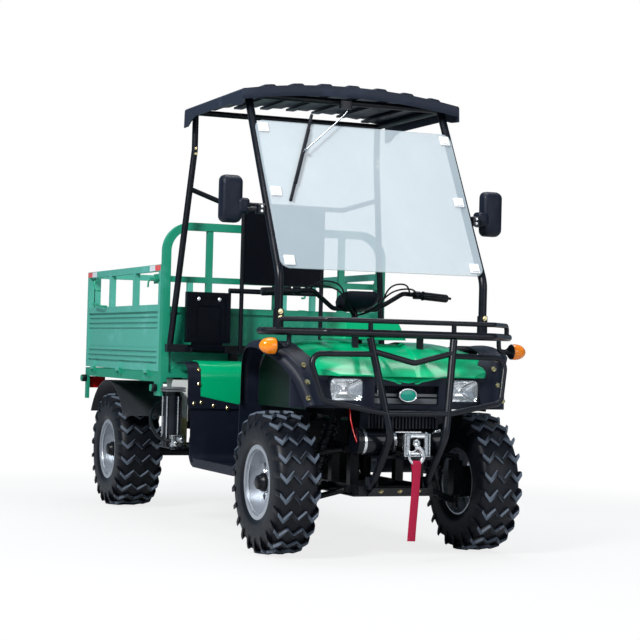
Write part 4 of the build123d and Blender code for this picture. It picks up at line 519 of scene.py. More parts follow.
def walled(outer, inner):
    """A closed grid from two sheets of one layout, joined along all their edges."""
    middle = (outer + inner) / 2
    ends = np.concatenate([middle, middle[:, ::-1]], axis=1)[[0, -1]]
    return np.concatenate([ends[:1], np.concatenate([outer, inner[:, ::-1]], axis=1), ends[1:]])


def across(direction):
    """Two unit vectors square to each direction and to each other."""
    ahead = unit(direction)
    upright = np.abs(ahead[..., 2:]) > 0.9
    lean = np.where(upright, (1.0, 0.0, 0.0), (0.0, 0.0, 1.0))
    first = unit(np.cross(lean, ahead))
    return first, np.cross(ahead, first)


def lathe(profile, centre, axis, sides=24, ring=False):
    """Each profile point (distance along the axis, radius) turned once round the axis; many centres at
    once."""
    profile = np.asarray(profile, float)
    centre, axis = np.asarray(centre, float), unit(axis)
    first, second = across(np.broadcast_to(axis, centre.shape))
    turn = np.linspace(0, 2 * pi, sides, endpoint=False)
    spoke = first[..., None, :] * np.cos(turn)[:, None] + second[..., None, :] * np.sin(turn)[:, None]
    along = np.broadcast_to(axis, centre.shape)[..., None, None, :] * profile[:, 0, None, None]
    points = centre[..., None, None, :] + along + spoke[..., None, :, :] * profile[:, 1, None, None]
    return Shell(points, ring=ring)


def rod(low, high, radius):
    """Profile of a plain round bar from low to high along its axis."""
    return (low, 0), (low, radius), (high, radius), (high, 0)


def softened(points, times=2):
    """An open path with its corners cut again and again, each cut at a quarter of the two sides."""
    points = np.asarray(points, float)
    for _ in range(times):
        near = points[:-1] * 0.75 + points[1:] * 0.25
        far = points[:-1] * 0.25 + points[1:] * 0.75
        inner = np.stack([near, far], axis=1).reshape(-1, points.shape[1])
        points = np.concatenate([points[:1], inner[1:-1], points[-1:]])
    return points


def carried(outline, path, lean, closed=False):
    """A closed outline in two measures carried along a path: the first measure runs square to the lean and
    the path, the second square to both that and the path. Open ends are closed at their middle."""
    outline, path = np.asarray(outline, float), np.asarray(path, float)
    if closed:
        ahead = np.roll(path, -1, axis=0) - np.roll(path, 1, axis=0)
    else:
        ahead = np.gradient(path, axis=0)
    ahead = unit(ahead)
    side = unit(np.cross(ahead, np.broadcast_to(np.asarray(lean, float), ahead.shape)))
    rise = np.cross(side, ahead)
    points = path[:, None] + side[:, None] * outline[:, :1] + rise[:, None] * outline[:, 1:]
    if not closed:
        ends = np.broadcast_to(path[[0, -1], None], (2, *points.shape[1:]))
        points = np.concatenate([ends[:1], points, ends[1:]])
    return Shell(points, ring=closed)


def bent(points, radius, steps=8):
    """A path whose corners are arcs of a radius that touch both sides."""
    points = np.asarray(points, float)
    runs = [points[:1]]
    for before, corner, after in zip(points[:-2], points[1:-1], points[2:]):
        to_start, to_end = unit(before - corner), unit(after - corner)
        half = np.arccos(np.clip(to_start @ to_end, -1, 1)) / 2
        centre = corner + unit(to_start + to_end) * radius / sin(half)
        first, last = corner + to_start * radius / np.tan(half), corner + to_end * radius / np.tan(half)
        chord = first + (last - first) * np.linspace(0, 1, steps)[:, None]
        runs.append(centre + unit(chord - centre) * radius)
    return np.concatenate([*runs, points[-1:]])


def circle(radius, sides=12):
    """Outline of a round bar."""
    turn = np.linspace(0, 2 * pi, sides, endpoint=False)
    return np.stack([np.cos(turn), np.sin(turn)], axis=1) * radius


def pipe(path, radius, lean, sides=12):
    """A round bar along a path, closed at both ends."""
    return carried(circle(radius, sides), path, lean)


def cord(name, points, radius, lean, finish, body="chassis", sides=10):
    """A loose cord between two places on the vehicle, along a softened path of given points."""
    path = softened(points, 4)
    piece = put(name, [pipe(path, radius, lean, sides)], finish, body)


def rounded(width, height, radius, steps=6):
    """Outline of a rectangle with round corners, centred on zero."""
    quarter = np.linspace(0, pi / 2, steps)
    arc = np.stack([np.cos(quarter), np.sin(quarter)], axis=1) * radius
    reach = np.array([width / 2 - radius, height / 2 - radius])
    corners = []
    for n, signs in enumerate(((1, 1), (-1, 1), (-1, -1), (1, -1))):
        turn = n * pi / 2
        spin = np.array([[cos(turn), sin(turn)], [-sin(turn), cos(turn)]])
        corners.append(arc @ spin + reach * signs)
    return np.concatenate(corners)


def plate(centre, right, up, size, radius, depth, bevel=0.0008, steps=6):
    """A rounded rectangular plate whose back is at centre: it stands depth off it, with bevelled edges."""
    right, up = unit(right), unit(up)
    normal = np.cross(right, up)
    # Height off the back, inset from the outline
    levels = ((0, 0), (depth - bevel, 0), (depth, bevel))
    rows = []
    for height, inset in levels:
        outline = rounded(size[0] - 2 * inset, size[1] - 2 * inset, max(radius - inset, 1e-4), steps)
        rows.append(outline[:, :1] * right + outline[:, 1:] * up + normal * height)
    back = np.zeros_like(rows[:1])
    return Shell(np.asarray(centre) + np.concatenate([back, rows, back + normal * depth]))


def block(low, high, bevel=0.002):
    """A box between two corners with its upright edges rounded and its top edge bevelled."""
    low, high = np.minimum(low, high), np.maximum(low, high)
    centre = np.array([(low[0] + high[0]) / 2, (low[1] + high[1]) / 2, low[2]])
    size = high - low
    return plate(centre, (1, 0, 0), (0, 1, 0), size[:2], bevel, size[2], bevel, 4)


def bolts(name, places, facing, radius, height, finish=BRASS_ZINC, body="chassis"):
    """Six-sided bolt heads on round washers, all facing one way."""
    places = np.asarray(places, float)
    facing = np.broadcast_to(np.asarray(facing, float), places.shape)
    washer = rod(0, height * 0.3, radius * 1.35)
    head = ((0, 0), (0, radius), (height * 0.8, radius), (height, radius * 0.8), (height, 0))
    shells = [lathe(washer, places, facing, 16), lathe(head, places, facing, 6)]
    return put(name, shells, finish, body, sharp=25)


# Tyres: a rounded carcass, and bars that zigzag across the whole tread and run down both shoulders
LUGS = 22
LUG_TOP = 0.3172
LUG_HALF = 0.0108
LUG_SHIFT = 0.019
CARCASS_R = 0.2995
# Inset from the tyre's side, radius
TYRE_FLANK = ((0.022, 0.1535), (0.007, 0.178), (0.004, 0.192), (0.002, 0.235), (0.008, 0.276), (0.034, 0.295))
# Across the tread as a share of half the width, round it, top radius, root radius
LUG_STATIONS = np.array([
    (1.005, -1.0, 0.262, 0.245),
    (0.985, -1.0, 0.286, 0.255),
    (0.90, -0.6, 0.3085, 0.27),
    (0.66, 1.0, 0.3145, 0.285),
    (0.33, -1.0, 0.3168, 0.29),
    (0.0, 1.0, LUG_TOP, 0.29),
])
# Corners of a bar's section: round the tread, share of its height
LUG_EDGE = np.array([-1.3, -1.0, -0.75, 0.75, 1.0, 1.3]) * LUG_HALF
LUG_RISE = np.array([0, 0.78, 1, 1, 0.78, 0])


def tyre(name):
    """The carcass is a profile turned about the axle. A bar is a section of six corners carried over
    stations across the tread; distance round the tread becomes an angle, and copies follow at an even
    pitch."""
    low, high = (np.asarray(corner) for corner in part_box(f"tyre_{name}"))
    centre = (low + high) / 2
    half = (high[0] - low[0]) / 2
    wall = softened([*((half - inset, radius) for inset, radius in TYRE_FLANK), (0, CARCASS_R)], 3)
    carcass = np.concatenate([wall * (-1, 1), wall[-2::-1]])
    stations = np.concatenate([LUG_STATIONS * (-1, 1, 1, 1), LUG_STATIONS[-2::-1]])
    share, shift, top, root = stations.T[:, :, None]
    measures = np.broadcast_arrays(share * half, shift * LUG_SHIFT + LUG_EDGE, root + (top - root) * LUG_RISE)
    spread, round_tread, radius = np.moveaxis(capped(np.stack(measures, axis=-1)), -1, 0)
    angle = (np.arange(LUGS) * 2 * pi / LUGS)[:, None, None] + round_tread / LUG_TOP
    spread = np.broadcast_to(spread, angle.shape)
    bars = Shell(centre + np.stack([spread, radius * np.sin(angle), -radius * np.cos(angle)], axis=-1))
    shells = [lathe(carcass, centre, (1, 0, 0), 96, ring=True), bars]
    put(f"tread_{name}", shells, TYRE_RUBBER, f"wheel_{name}", [f"tyre_{name}"], sharp=24)


# Wheel trim: dark hub cap, nuts, and a turned lip inside the dish
HUB_INSET = 0.036
DISC_INSET = 0.0632
LIP_INSET = 0.012
NUT_CIRCLE_R = 0.060


def wheel_trim(name):
    """Profiles turned about the axle, and nuts on a circle round it."""
    low, high = (np.asarray(corner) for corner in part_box(f"rim_{name}"))
    centre = (low + high) / 2
    side = np.sign(centre[0])
    outer = centre * (0, 1, 1) + ((high if side > 0 else low)[0], 0, 0)
    inward = np.array([-side, 0, 0])
    body = f"wheel_{name}"
    cap = ((0, 0), (0, 0.041), (0.012, 0.041), (0.02, 0.034), (0.034, 0.03), (0.038, 0.024), (0.038, 0))
    hub = lathe(cap, outer + inward * HUB_INSET, -inward, 32)
    put(f"hub_cap_{name}", [hub], BLACK_IRON, body)
    turn = np.arange(4) * pi / 2 + pi / 4
    nuts = np.stack([0 * turn, np.cos(turn), np.sin(turn)], axis=1) * NUT_CIRCLE_R
    bolts(f"wheel_nuts_{name}", outer + inward * DISC_INSET + nuts, -inward, 0.0105, 0.016, ZINC, body)
    lip = ((0, 0.1455), (0.0035, 0.1445), (0.004, 0.139), (0, 0.1375))
    put(f"rim_lip_{name}", [lathe(lip, outer + inward * LIP_INSET, -inward, 64)], SILVER_WHEEL, body)


# Hood: a crowned skin with a sunk middle panel, rolled flanks and a front edge that dips in the middle
HOOD_STATIONS = (-1.484, -1.440, -1.300, -1.060, -0.890)
HOOD_LINE = softened(list(zip(HOOD_STATIONS, (0.803, 0.838, 0.920, 0.956, 0.940))), 3)
HOOD_HALF = (0.322, 0.405, 0.436, 0.426, 0.300)
HOOD_UNDER = (0.797, 0.797, 0.808, 0.852, 0.862)
HOOD_FLANK = 0.19
HOOD_FLANK_DROP = 0.026
HOOD_CREASE = 0.009
HOOD_CREASE_X = (0.058, 0.165)
HOOD_DIP = 0.028
HOOD_DIP_HALF = 0.18
HOOD_DIP_LENGTH = 0.06


def hood_skin():
    """Height is the side line, less a square of the distance into the flank, less a step inside two creases
    that spread from nose to back, less a dip that fades away behind the front edge."""
    y, top = HOOD_LINE.T
    nose, tail = HOOD_STATIONS[0], HOOD_STATIONS[-1]
    half = np.interp(y, HOOD_STATIONS, HOOD_HALF)[:, None]
    under = np.interp(y, HOOD_STATIONS, HOOD_UNDER)[:, None]
    outer = np.linspace(0.45, 1, 14)
    share = np.concatenate([-outer[::-1], np.linspace(-0.44, 0.44, 61), outer])
    x = half * share
    into = np.clip((np.abs(x) - half + HOOD_FLANK) / HOOD_FLANK, 0, 1)
    crease_x = np.interp(y, (nose, tail), HOOD_CREASE_X)[:, None]
    step = np.clip((crease_x + 0.006 - np.abs(x)) / 0.012, 0, 1)
    fade = np.exp(-(((y - nose) / HOOD_DIP_LENGTH) ** 2))[:, None]
    dip = np.clip(1 - (x / HOOD_DIP_HALF) ** 2, 0, None) ** 1.5 * HOOD_DIP * fade
    z = top[:, None] - into**2 * HOOD_FLANK_DROP * (1 - fade) - step * HOOD_CREASE * (1 - fade * 0.4) - dip
    depth = np.broadcast_to(y[:, None], x.shape)
    skin = np.stack([x, depth, z], axis=-1)
    foot = np.stack([x, depth, np.minimum(under - dip, z - 0.006)], axis=-1)
    edges = []
    for column, side in ((0, -1), (-1, 1)):
        roll = skin[:, column] + (side * 0.002, 0, -0.008)
        edges.append(np.stack([foot[:, column] - (side * 0.003, 0, 0), roll], axis=1))
    rows = np.concatenate([edges[0], skin, edges[1][:, ::-1]], axis=1)
    ends = rows[[0, -1]].copy()
    ends[:, 2:-2, 2] = foot[[0, -1], :, 2]
    ends[:, 1, 2], ends[:, -2, 2] = ends[:, 0, 2], ends[:, -1, 2]
    closed = Shell(np.concatenate([ends[:1], rows, ends[1:]]))
    put("hood_skin", [closed], GLOSS_GREEN, replaces=["hood"], sharp=30)


# Front fenders: the arched sheet with its outer edge rolled in
FENDER_LINE = softened(
    ((-0.802, 0.652), (-0.807, 0.860), (-0.960, 0.936), (-1.270, 0.936), (-1.420, 0.820), (-1.492, 0.668)), 3
)
FENDER_OUT = ((-1.5, -1.29, -1.1, -0.78), (0.470, 0.600, 0.600, 0.530))
FENDER_IN = ((-1.5, -1.40, -1.34, -1.29, -0.78), (0.355, 0.370, 0.425, 0.440, 0.440))
FENDER_WALL = 0.005
FENDER_LIP = 0.026
FENDER_RIDGE = 0.005


def fender_skins():
    """Across the sheet, a share from the inner to the outer edge; along it, the arch. The last part of the
    share rolls inward by a square, and a ridge stands a little inside it."""
    ahead = np.gradient(FENDER_LINE, axis=0)
    out = unit(np.stack([ahead[:, 1], -ahead[:, 0]], axis=1))
    share = np.concatenate([np.linspace(0, 0.7, 8), np.linspace(0.76, 1, 9)])
    inner = np.interp(FENDER_LINE[:, 0], *FENDER_IN)[:, None]
    x = inner + (np.interp(FENDER_LINE[:, 0], *FENDER_OUT)[:, None] - inner) * share
    roll = np.clip((share - 0.8) / 0.2, 0, 1) ** 2 * FENDER_LIP
    ridge = np.exp(-(((share - 0.72) / 0.06) ** 2)) * FENDER_RIDGE
    sheets = []
    for wall in (FENDER_WALL, 0):
        arch = FENDER_LINE[:, None] + out[:, None] * (wall + ridge - roll)[:, None]
        sheets.append(np.concatenate([x[..., None], arch], axis=-1))
    put("fender_skins", [Shell(both(walled(*sheets)))], NAVY_PLASTIC, replaces=["front_fenders"], sharp=45)


# Headlamps: a faceted bowl with a cross of ridges, behind a domed clear cover in a dark frame
LAMP_CENTRE = np.array([0.281, -1.456, 0.738])
LAMP_SIZE = (0.158, 0.102)
LAMP_CORNER = 0.025
LAMP_DEPTH = 0.042
LAMP_DOME = 0.008


def headlamps():
    """Rings of the lamp's outline shrink to its middle. The bowl's depth goes with the square of the share,
    with ridges on the two diagonals; the cover stands out by the same rule the other way."""
    outline = rounded(*LAMP_SIZE, LAMP_CORNER, 14)
    share = np.linspace(1, 0, 16)[:, None]
    flat = outline * share[..., None]
    width, height = LAMP_SIZE
    off_diagonal = np.abs(np.abs(flat[..., 0]) * height - np.abs(flat[..., 1]) * width) / width
    ridge = np.exp(-((off_diagonal / 0.007) ** 2)) * 0.010 * np.clip(share * 3, 0, 1)
    bulb = np.exp(-((share / 0.16) ** 2)) * 0.016
    bowl = standing(flat, LAMP_DEPTH * (1 - share**2) + 0.004 - ridge - bulb)
    cover = standing(flat, -LAMP_DOME * (1 - share**2) - 0.001)
    put("lamp_bowls", [Shell(both(LAMP_CENTRE + bowl))], REFLECTOR, sharp=25)
    put("lamp_covers", [Shell(both(LAMP_CENTRE + cover))], LAMP_GLASS, replaces=["headlamps"])
    loops = both(LAMP_CENTRE + standing(outline) * 1.02)
    frames = [carried(circle(0.006, 8), loop, FRONT, closed=True) for loop in loops]
    put("lamp_frames", frames, NAVY_PLASTIC)


# Grille: grey bar and band, close bars behind them, and a blank oval badge
BADGE = np.array([0, -1.4862, 0.717])
BADGE_HALF = (0.041, 0.027)
GRILLE_Y = -1.4582
GRILLE_WIDTH = 0.306
# Height above the ground, width of the bar
GRILLE_BARS = ((0.717, 0.013), (0.691, 0.024))
SLAT_Y = -1.4445
SLAT_Z = 0.7405
SLAT_HALF = 0.0155


def grille_trim():
    """Bars are rounded plates. The badge is an ellipse whose rings shrink to a slightly domed middle, and
    its rim a round bar carried along the ellipse."""
    bars = [plate((0, GRILLE_Y, z), (1, 0, 0), (0, 0, 1), (GRILLE_WIDTH, height), 0.003, 0.003)
            for z, height in GRILLE_BARS]
    put("grille_bars", bars, GREY_PLASTIC)
    oval = circle(1, 48) * BADGE_HALF
    put("badge_rim", [carried(circle(0.0042, 10), BADGE + standing(oval), FRONT, closed=True)], ZINC)
    share = np.linspace(1, 0, 8)[:, None]
    face = standing(oval * share[..., None], -0.004 * (1 - share**2))
    put("badge_face", [Shell(BADGE + face)], TEAL_ENAMEL)
    places = standing(np.stack([np.linspace(-0.145, 0.145, 30), np.full(30, SLAT_Z)], axis=1), SLAT_Y)
    put("grille_slats", [lathe(rod(-SLAT_HALF, SLAT_HALF, 0.003), places, (0, 0, 1), 6)], NAVY_PLASTIC)


# Indicators: egg-shaped amber lamps in black cups on stalks
INDICATOR = np.array([0.568, -1.355, 0.918])
# Distance out along the crosswise axis, radius
INDICATOR_EGG = (
    (0.004, 0), (0.004, 0.033), (0.022, 0.0362), (0.042, 0.0352),
    (0.06, 0.0295), (0.073, 0.0195), (0.080, 0.008), (0.082, 0),
)
INDICATOR_CUP = (
    (-0.022, 0), (-0.022, 0.011), (-0.010, 0.016), (0.001, 0.028),
    (0.008, 0.0352), (0.011, 0.0352), (0.011, 0.030), (0.011, 0),
)
INDICATOR_STALK = ((0.545, -1.355, 0.918), (0.514, -1.355, 0.920), (0.512, -1.355, 0.966))


def indicators():
    """Profiles turned about the crosswise axis through each lamp, and a round bar for its stalk."""
    lenses, cups = [], []
    for _, side in SIDES:
        centre = mirrored(INDICATOR, side)
        lenses.append(lathe(softened(INDICATOR_EGG, 2), centre, (side, 0, 0), 32))
        cups.append(lathe(softened(INDICATOR_CUP, 1), centre, (side, 0, 0), 32))
        cups.append(pipe(mirrored(softened(INDICATOR_STALK, 3), side), 0.0105, FRONT))
    put("indicator_lenses", lenses, AMBER_LENS, replaces=["indicators"])
    put("indicator_cups", cups, BLACK_TUBE)


# Winch: tie rods, clutch lever, bands, wound rope, the fairlead's rollers, an open hook and its pull strap
WINCH_AXLE = (0, -1.462, 0.515)
WINCH_ROD_Z = 0.557
WINCH_LEVER = ((0.118, -1.5, 0.553), (0.118, -1.516, 0.562), (0.142, -1.522, 0.566))
DARK_BANDS_X = (-0.236, 0.068, 0.15)
BRIGHT_BANDS_X = (-0.215, -0.076)


def winch_trim():
    """Round bars along straight and bent paths, and profiles turned about the winch's axle."""
    rods = [pipe(np.array([(-0.066, y, WINCH_ROD_Z), (0.07, y, WINCH_ROD_Z)]), 0.0056, (0, 0, 1))
            for y in (-1.492, -1.432)]
    rods.append(pipe(softened(WINCH_LEVER, 2), 0.0055, (0, 0, 1)))
    put("winch_rods", rods, ZINC)
    ring = ((0, 0.05), (0, 0.0592), (0.006, 0.0596), (0.012, 0.0592), (0.012, 0.05))
    for name, places, finish in (("bands", DARK_BANDS_X, BLACK_IRON), ("caps", BRIGHT_BANDS_X, ZINC)):
        shells = [lathe(ring, (x, *WINCH_AXLE[1:]), (1, 0, 0), 40) for x in places]
        put(f"winch_{name}", shells, finish)
    turns = [(x, 0.0425 if n % 2 else 0.0395) for n, x in enumerate(np.linspace(-0.054, 0.06, 25))]
    coil = ((-0.058, 0.0385), *turns, (0.064, 0.0385))
    put("winch_rope", [lathe(coil, WINCH_AXLE, (1, 0, 0), 32)], BLACK_IRON)


HOOK = np.array([-0.009, -1.6, 0.462])
HOOK_R = 0.034
# Shares of the way along the hook, radius of its bar there
HOOK_BAR = ((0, 0.35, 0.7, 1), (0.0068, 0.0095, 0.009, 0.004))
STRAP_WIDTH = 0.038
STRAP_THICKNESS = 0.0034
STRAP_WRAP_R = 0.0115
STRAP_END_Z = 0.0965
STRAP_DRIFT = 0.016
# Lower part of the strap's short leg, from the hook's middle
STRAP_BACK = ((0, -0.0072, -0.084), (0, -0.002, -0.064), (0, 0.008, -0.045))


def hook_and_strap():
    """The hook is a round bar that thins out along an open ring below a short shank. The strap is a flat
    outline carried over the ring's lower side and down in front of it with a faint wave."""
    turn = np.linspace(radians(90), radians(-215), 48)
    ring = standing(np.stack([np.cos(turn), np.sin(turn)], axis=1) * HOOK_R)
    shank = np.array([(0, 0.012, 0.060), (0, 0.003, 0.052), (0, 0, 0.042)])
    path = HOOK + np.concatenate([softened(np.concatenate([shank, ring[:1]]), 2)[:-1], ring])
    thick = np.interp(np.linspace(0, 1, len(path)), *HOOK_BAR)
    middle = np.concatenate([path[:1], path, path[-1:]])[:, None]
    scale = np.concatenate([thick[:1], thick, thick[-1:]])[:, None, None]
    bar = Shell(middle + (carried(circle(1, 12), path, FRONT).points - middle) * scale)
    latch = HOOK + np.array([(0.004, 0, 0.030), (-0.014, 0, 0.018), (-0.027, 0, 0.016)])
    eye = HOOK + standing(circle(0.012, 20) + (0, 0.054))
    shells = [bar, pipe(latch, 0.0028, FRONT, 8), carried(circle(0.0048, 8), eye, FRONT, closed=True)]
    put("hook_bar", shells, ZINC, replaces=["winch_hook"])

    fall = np.linspace(0, 1, 60)
    drop = fall * (HOOK[2] - HOOK_R - STRAP_END_Z)
    wave = np.sin(fall * 5) * 0.001
    front = np.stack([wave - STRAP_DRIFT * fall, fall * 0.006 - STRAP_WRAP_R, -HOOK_R - drop], axis=1)
    half = np.linspace(pi, 0, 14)[1:-1]
    over = np.stack([half * 0, np.cos(half) * -STRAP_WRAP_R, np.sin(half) * STRAP_WRAP_R - HOOK_R], axis=1)
    back = softened([*STRAP_BACK, (0, STRAP_WRAP_R, -HOOK_R)], 2)
    line = HOOK + np.concatenate([back, over, front])
    web = carried(rounded(STRAP_THICKNESS, STRAP_WIDTH, 0.0015, 4), line, (1, 0, 0))
    strap = put("strap_web", [web], RED_WEBBING, replaces=["winch_strap"])


FAIRLEAD_Z = (0.4575, 0.5575)
UPRIGHT_ROLLER_X = 0.043
UPRIGHT_ROLLER_Y = -1.5855
LEVEL_ROLLER_Y = -1.5835


def fairlead():
    """Profiles turned about the rollers' pins, and bevelled bars round them."""
    low, high = FAIRLEAD_Z
    upright = ((-0.042, 0.004), (-0.042, 0.0105), (0.042, 0.0105), (0.042, 0.004))
    level = ((-0.034, 0.004), (-0.034, 0.0095), (0.034, 0.0095), (0.034, 0.004))
    pins = (-UPRIGHT_ROLLER_X, UPRIGHT_ROLLER_X)
    parts = [lathe(upright, (x, UPRIGHT_ROLLER_Y, 0.507), (0, 0, 1), 20) for x in pins]
    parts += [lathe(level, (0, LEVEL_ROLLER_Y, z), (1, 0, 0), 20) for z in (0.470, 0.544)]
    parts += [block((-0.062, -1.596, z), (0.062, -1.574, z + 0.006), 0.003) for z in (low, high - 0.006)]
    parts += [block((x - 0.0035, -1.592, low), (x + 0.0035, -1.572, high), 0.002) for x in (-0.0585, 0.0585)]
    put("fairlead_frame", parts, ZINC, replaces=["winch_fairlead"])
    bolts("fairlead_bolts", [(x, UPRIGHT_ROLLER_Y, high) for x in pins], (0, 0, 1), 0.0065, 0.005, ZINC)


# From under the fascia to the motor's end
WINCH_WIRE = (
    (-0.246, -1.418, 0.656), (-0.249, -1.435, 0.610), (-0.248, -1.468, 0.555), (-0.239, -1.490, 0.512),
)
WINCH_WIRE_R = 0.0032


# Bull bar: the round of its posts and loops, on the same lines as the frame inside
POST_R = 0.0168
LOOP_R = 0.0128
BAR_POST = ((0.130, -1.412, 0.312), (0.130, -1.598, 0.544), (0.201, -1.516, 0.9625))
BAR_HOOP = ((0.188, -1.532, 0.893), (0.475, -1.491, 0.889), (0.426, -1.541, 0.690), (0.146, -1.584, 0.640))
BAR_CHEVRON = ((-0.190, -1.530, 0.905), (0, -1.540, 0.858), (0.190, -1.530, 0.905))


def bull_bar_tubes():
    """Round bars along lines whose corners are arcs."""
    tubes = [pipe(post, POST_R, (1, 0.1, 0), 20) for post in both(bent(BAR_POST, 0.09, 12))]
    tubes += [pipe(hoop, LOOP_R, (0.1, 1, 0.1), 16) for hoop in both(bent(BAR_HOOP, 0.045, 12))]
    tubes.append(pipe(bent(BAR_CHEVRON, 0.06, 10), LOOP_R, FRONT, 16))
    tubes.append(pipe(both(BAR_HOOP[-1]), LOOP_R, FRONT, 16))
    put("bull_bar_tubes", tubes, BLACK_TUBE)


# Seat: the cushion blown up a little from its base, as foam under vinyl
SEAT_VOXEL = 0.006
SEAT_HELD = 0.012
SEAT_PRESSURE = 4
SEAT_FRAMES = 20
SEAT_SWELL = 0.012


def mesh_points(mesh):
    """All points of a mesh as one array."""
    flat = np.empty(len(mesh.vertices) * 3)
    mesh.vertices.foreach_get("co", flat)
    return flat.reshape(-1, 3)


def seat_cushion():
    """The seat's block cut into small even faces, then a cloth under inside pressure with its base held; no
    point moves further than the swell."""
    cushion = bpy.data.objects.new("seat_cushion", nodes["seat"].data.copy())
    bpy.context.collection.objects.link(cushion)
    remesh = cushion.modifiers.new("even", "REMESH")
    remesh.mode, remesh.voxel_size = "VOXEL", SEAT_VOXEL
    graph = bpy.context.evaluated_depsgraph_get()
    cushion.data = bpy.data.meshes.new_from_object(cushion.evaluated_get(graph))
    cushion.modifiers.clear()
    before = mesh_points(cushion.data)
    held = cushion.vertex_groups.new(name="held")
    held.add(np.flatnonzero(before[:, 2] < before[:, 2].min() + SEAT_HELD).tolist(), 1.0, "REPLACE")
    cloth = cushion.modifiers.new("foam", "CLOTH")
    cloth.settings.use_pressure = True
    cloth.settings.uniform_pressure_force = SEAT_PRESSURE
    cloth.settings.vertex_group_mass = "held"
    cloth.settings.effector_weights.gravity = 0
    cloth.point_cache.frame_start, cloth.point_cache.frame_end = 1, SEAT_FRAMES
    for frame_number in range(1, SEAT_FRAMES + 1):
        bpy.context.scene.frame_set(frame_number)
    graph = bpy.context.evaluated_depsgraph_get()
    blown = bpy.data.meshes.new_from_object(cushion.evaluated_get(graph))
    move = mesh_points(blown) - before
    far = np.linalg.norm(move, axis=1, keepdims=True)
    share = np.minimum(1, SEAT_SWELL / np.maximum(far, 1e-9))
    blown.vertices.foreach_set("co", (before + move * share).ravel())
    bpy.context.scene.frame_set(1)
    cushion.modifiers.clear()
    cushion.data = blown
    blown.shade_smooth()
    blown.materials.clear()
    blown.materials.append(SEAT_VINYL)
    smooth = cushion.modifiers.new("smooth", "SUBSURF")
    smooth.levels = smooth.render_levels = 1
    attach(cushion, "chassis")
    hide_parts("seat")


# Roof: an arched sheet with round edges, soft ribs, deeper corners and a front lip
ROOF_HALF = 0.560
ROOF_CROWN = 2.150
ROOF_RISE = 0.049
ROOF_ENDS = (-0.815, 0.030)
ROOF_WALL = 0.006
ROOF_ROUND = 0.014
ROOF_SKIRT = ((-0.815, -0.74, -0.66, -0.12, -0.03, 0.03), (2.026, 2.030, 2.048, 2.048, 2.008, 2.007))
ROOF_RIB_X = (np.arange(7) - 3) * 0.142
ROOF_RIB_HEIGHT = 0.010
# Depth behind the roof's front edge, height below its arc
ROOF_LIP = (
    (0, 0), (-0.0005, -0.02), (0, -0.046), (0.002, -0.050), (0.005, -0.050), (0.006, -0.046), (0.006, 0),
)


def roof_arc(x):
    """Height of the roof's arc at each place across it."""
    radius = (ROOF_HALF**2 + ROOF_RISE**2) / (2 * ROOF_RISE)
    return ROOF_CROWN - radius + np.sqrt(radius**2 - x**2)


def roof_skin():
    """Across, an arc of the crown's rise with ribs raised on it by a smooth step, and edges that turn down
    through a round to the skirt; along, the skirt deepens at the corners. The underside is the same sheet a
    wall lower."""
    nose, tail = ROOF_ENDS
    reach = ROOF_HALF - ROOF_ROUND
    x = np.linspace(-reach, reach, 161)
    y = np.concatenate([nose + np.array([0, 0.006, 0.02, 0.04]), np.linspace(nose + 0.08, tail, 14)])
    near = np.abs(x[:, None] - ROOF_RIB_X).min(1)
    rib = np.clip((0.036 - near) / 0.016, 0, 1)
    rib = rib * rib * (3 - 2 * rib) * ROOF_RIB_HEIGHT
    roll = np.where(y < nose + 0.01, 0.003, 0)[:, None]
    turn = np.linspace(0, pi / 2, 6)[1:]
    sheets = []
    for wall in (0, ROOF_WALL):
        top = np.stack(np.broadcast_arrays(x, y[:, None], roof_arc(x) + rib - wall - roll), axis=-1)
        edge_x = reach + np.sin(turn) * (ROOF_ROUND - wall)
        edge_z = roof_arc(reach) - wall - (1 - np.cos(turn)) * ROOF_ROUND
        edge = np.stack(np.broadcast_arrays(edge_x, y[:, None], edge_z), axis=-1)
        foot = np.stack([np.full(len(y), ROOF_HALF + 0.002 - wall), y, np.interp(y, *ROOF_SKIRT)], axis=1)
        right = np.concatenate([edge, foot[:, None]], axis=1)
        sheets.append(np.concatenate([mirrored(right[:, ::-1], -1), top, right], axis=1))
    lip_x = np.linspace(0.004 - ROOF_HALF, ROOF_HALF - 0.004, 81)
    lip_top = roof_arc(lip_x) - 0.001
    lip = [np.stack([lip_x, np.full(81, nose + dy), lip_top + dz], axis=1) for dy, dz in ROOF_LIP]
    shells = [Shell(walled(*sheets)), Shell(capped(np.stack(lip, axis=1)))]
    put("roof_skin", shells, ROOF_PLASTIC, replaces=["roof_panel"], sharp=40)
    # Dark bars laid under each rib, where the underside shows dark bands.
    dark_bars = [block((rib_x - 0.022, -0.80, z - 0.012), (rib_x + 0.022, 0.01, z), 0.004)
             for rib_x, z in zip(ROOF_RIB_X, roof_arc(ROOF_RIB_X) - ROOF_WALL)]
    put("roof_dark_bars", dark_bars, BLACK_TUBE)


# Windscreen: white square clips with a smaller cap each, and the wiper on its bright link
SCREEN_OUT = unit((0, -0.696, 0.394))
SCREEN_UP = unit((0, 0.394, 0.696))
SCREEN_FACE = np.array([0, -1.215, 1.261]) + SCREEN_OUT * 0.005
SCREEN_CLIPS = ((-0.466, -0.842, 1.920), (-0.462, -1.016, 1.612), (-0.460, -1.196, 1.294))
# Size, height off the sheet, corner radius, depth: the clip and its cap
SCREEN_CLIP_FORMS = ((0.050, 0, 0.004, 0.006), (0.036, 0.0059, 0.003, 0.003))
WIPER_BLADE = ((-0.212, -0.800, 1.995), (-0.402, -1.041, 1.569))
WIPER_LINK = ((-0.028, -0.800, 2.045), (-0.030, -0.822, 2.030), (-0.288, -0.918, 1.811))


def on_screen(points, off):
    """Points moved square to the windscreen until they stand off its outer face by off."""
    points = np.asarray(points, float)
    height = (points - SCREEN_FACE) @ SCREEN_OUT
    return points + (off - height)[..., None] * SCREEN_OUT


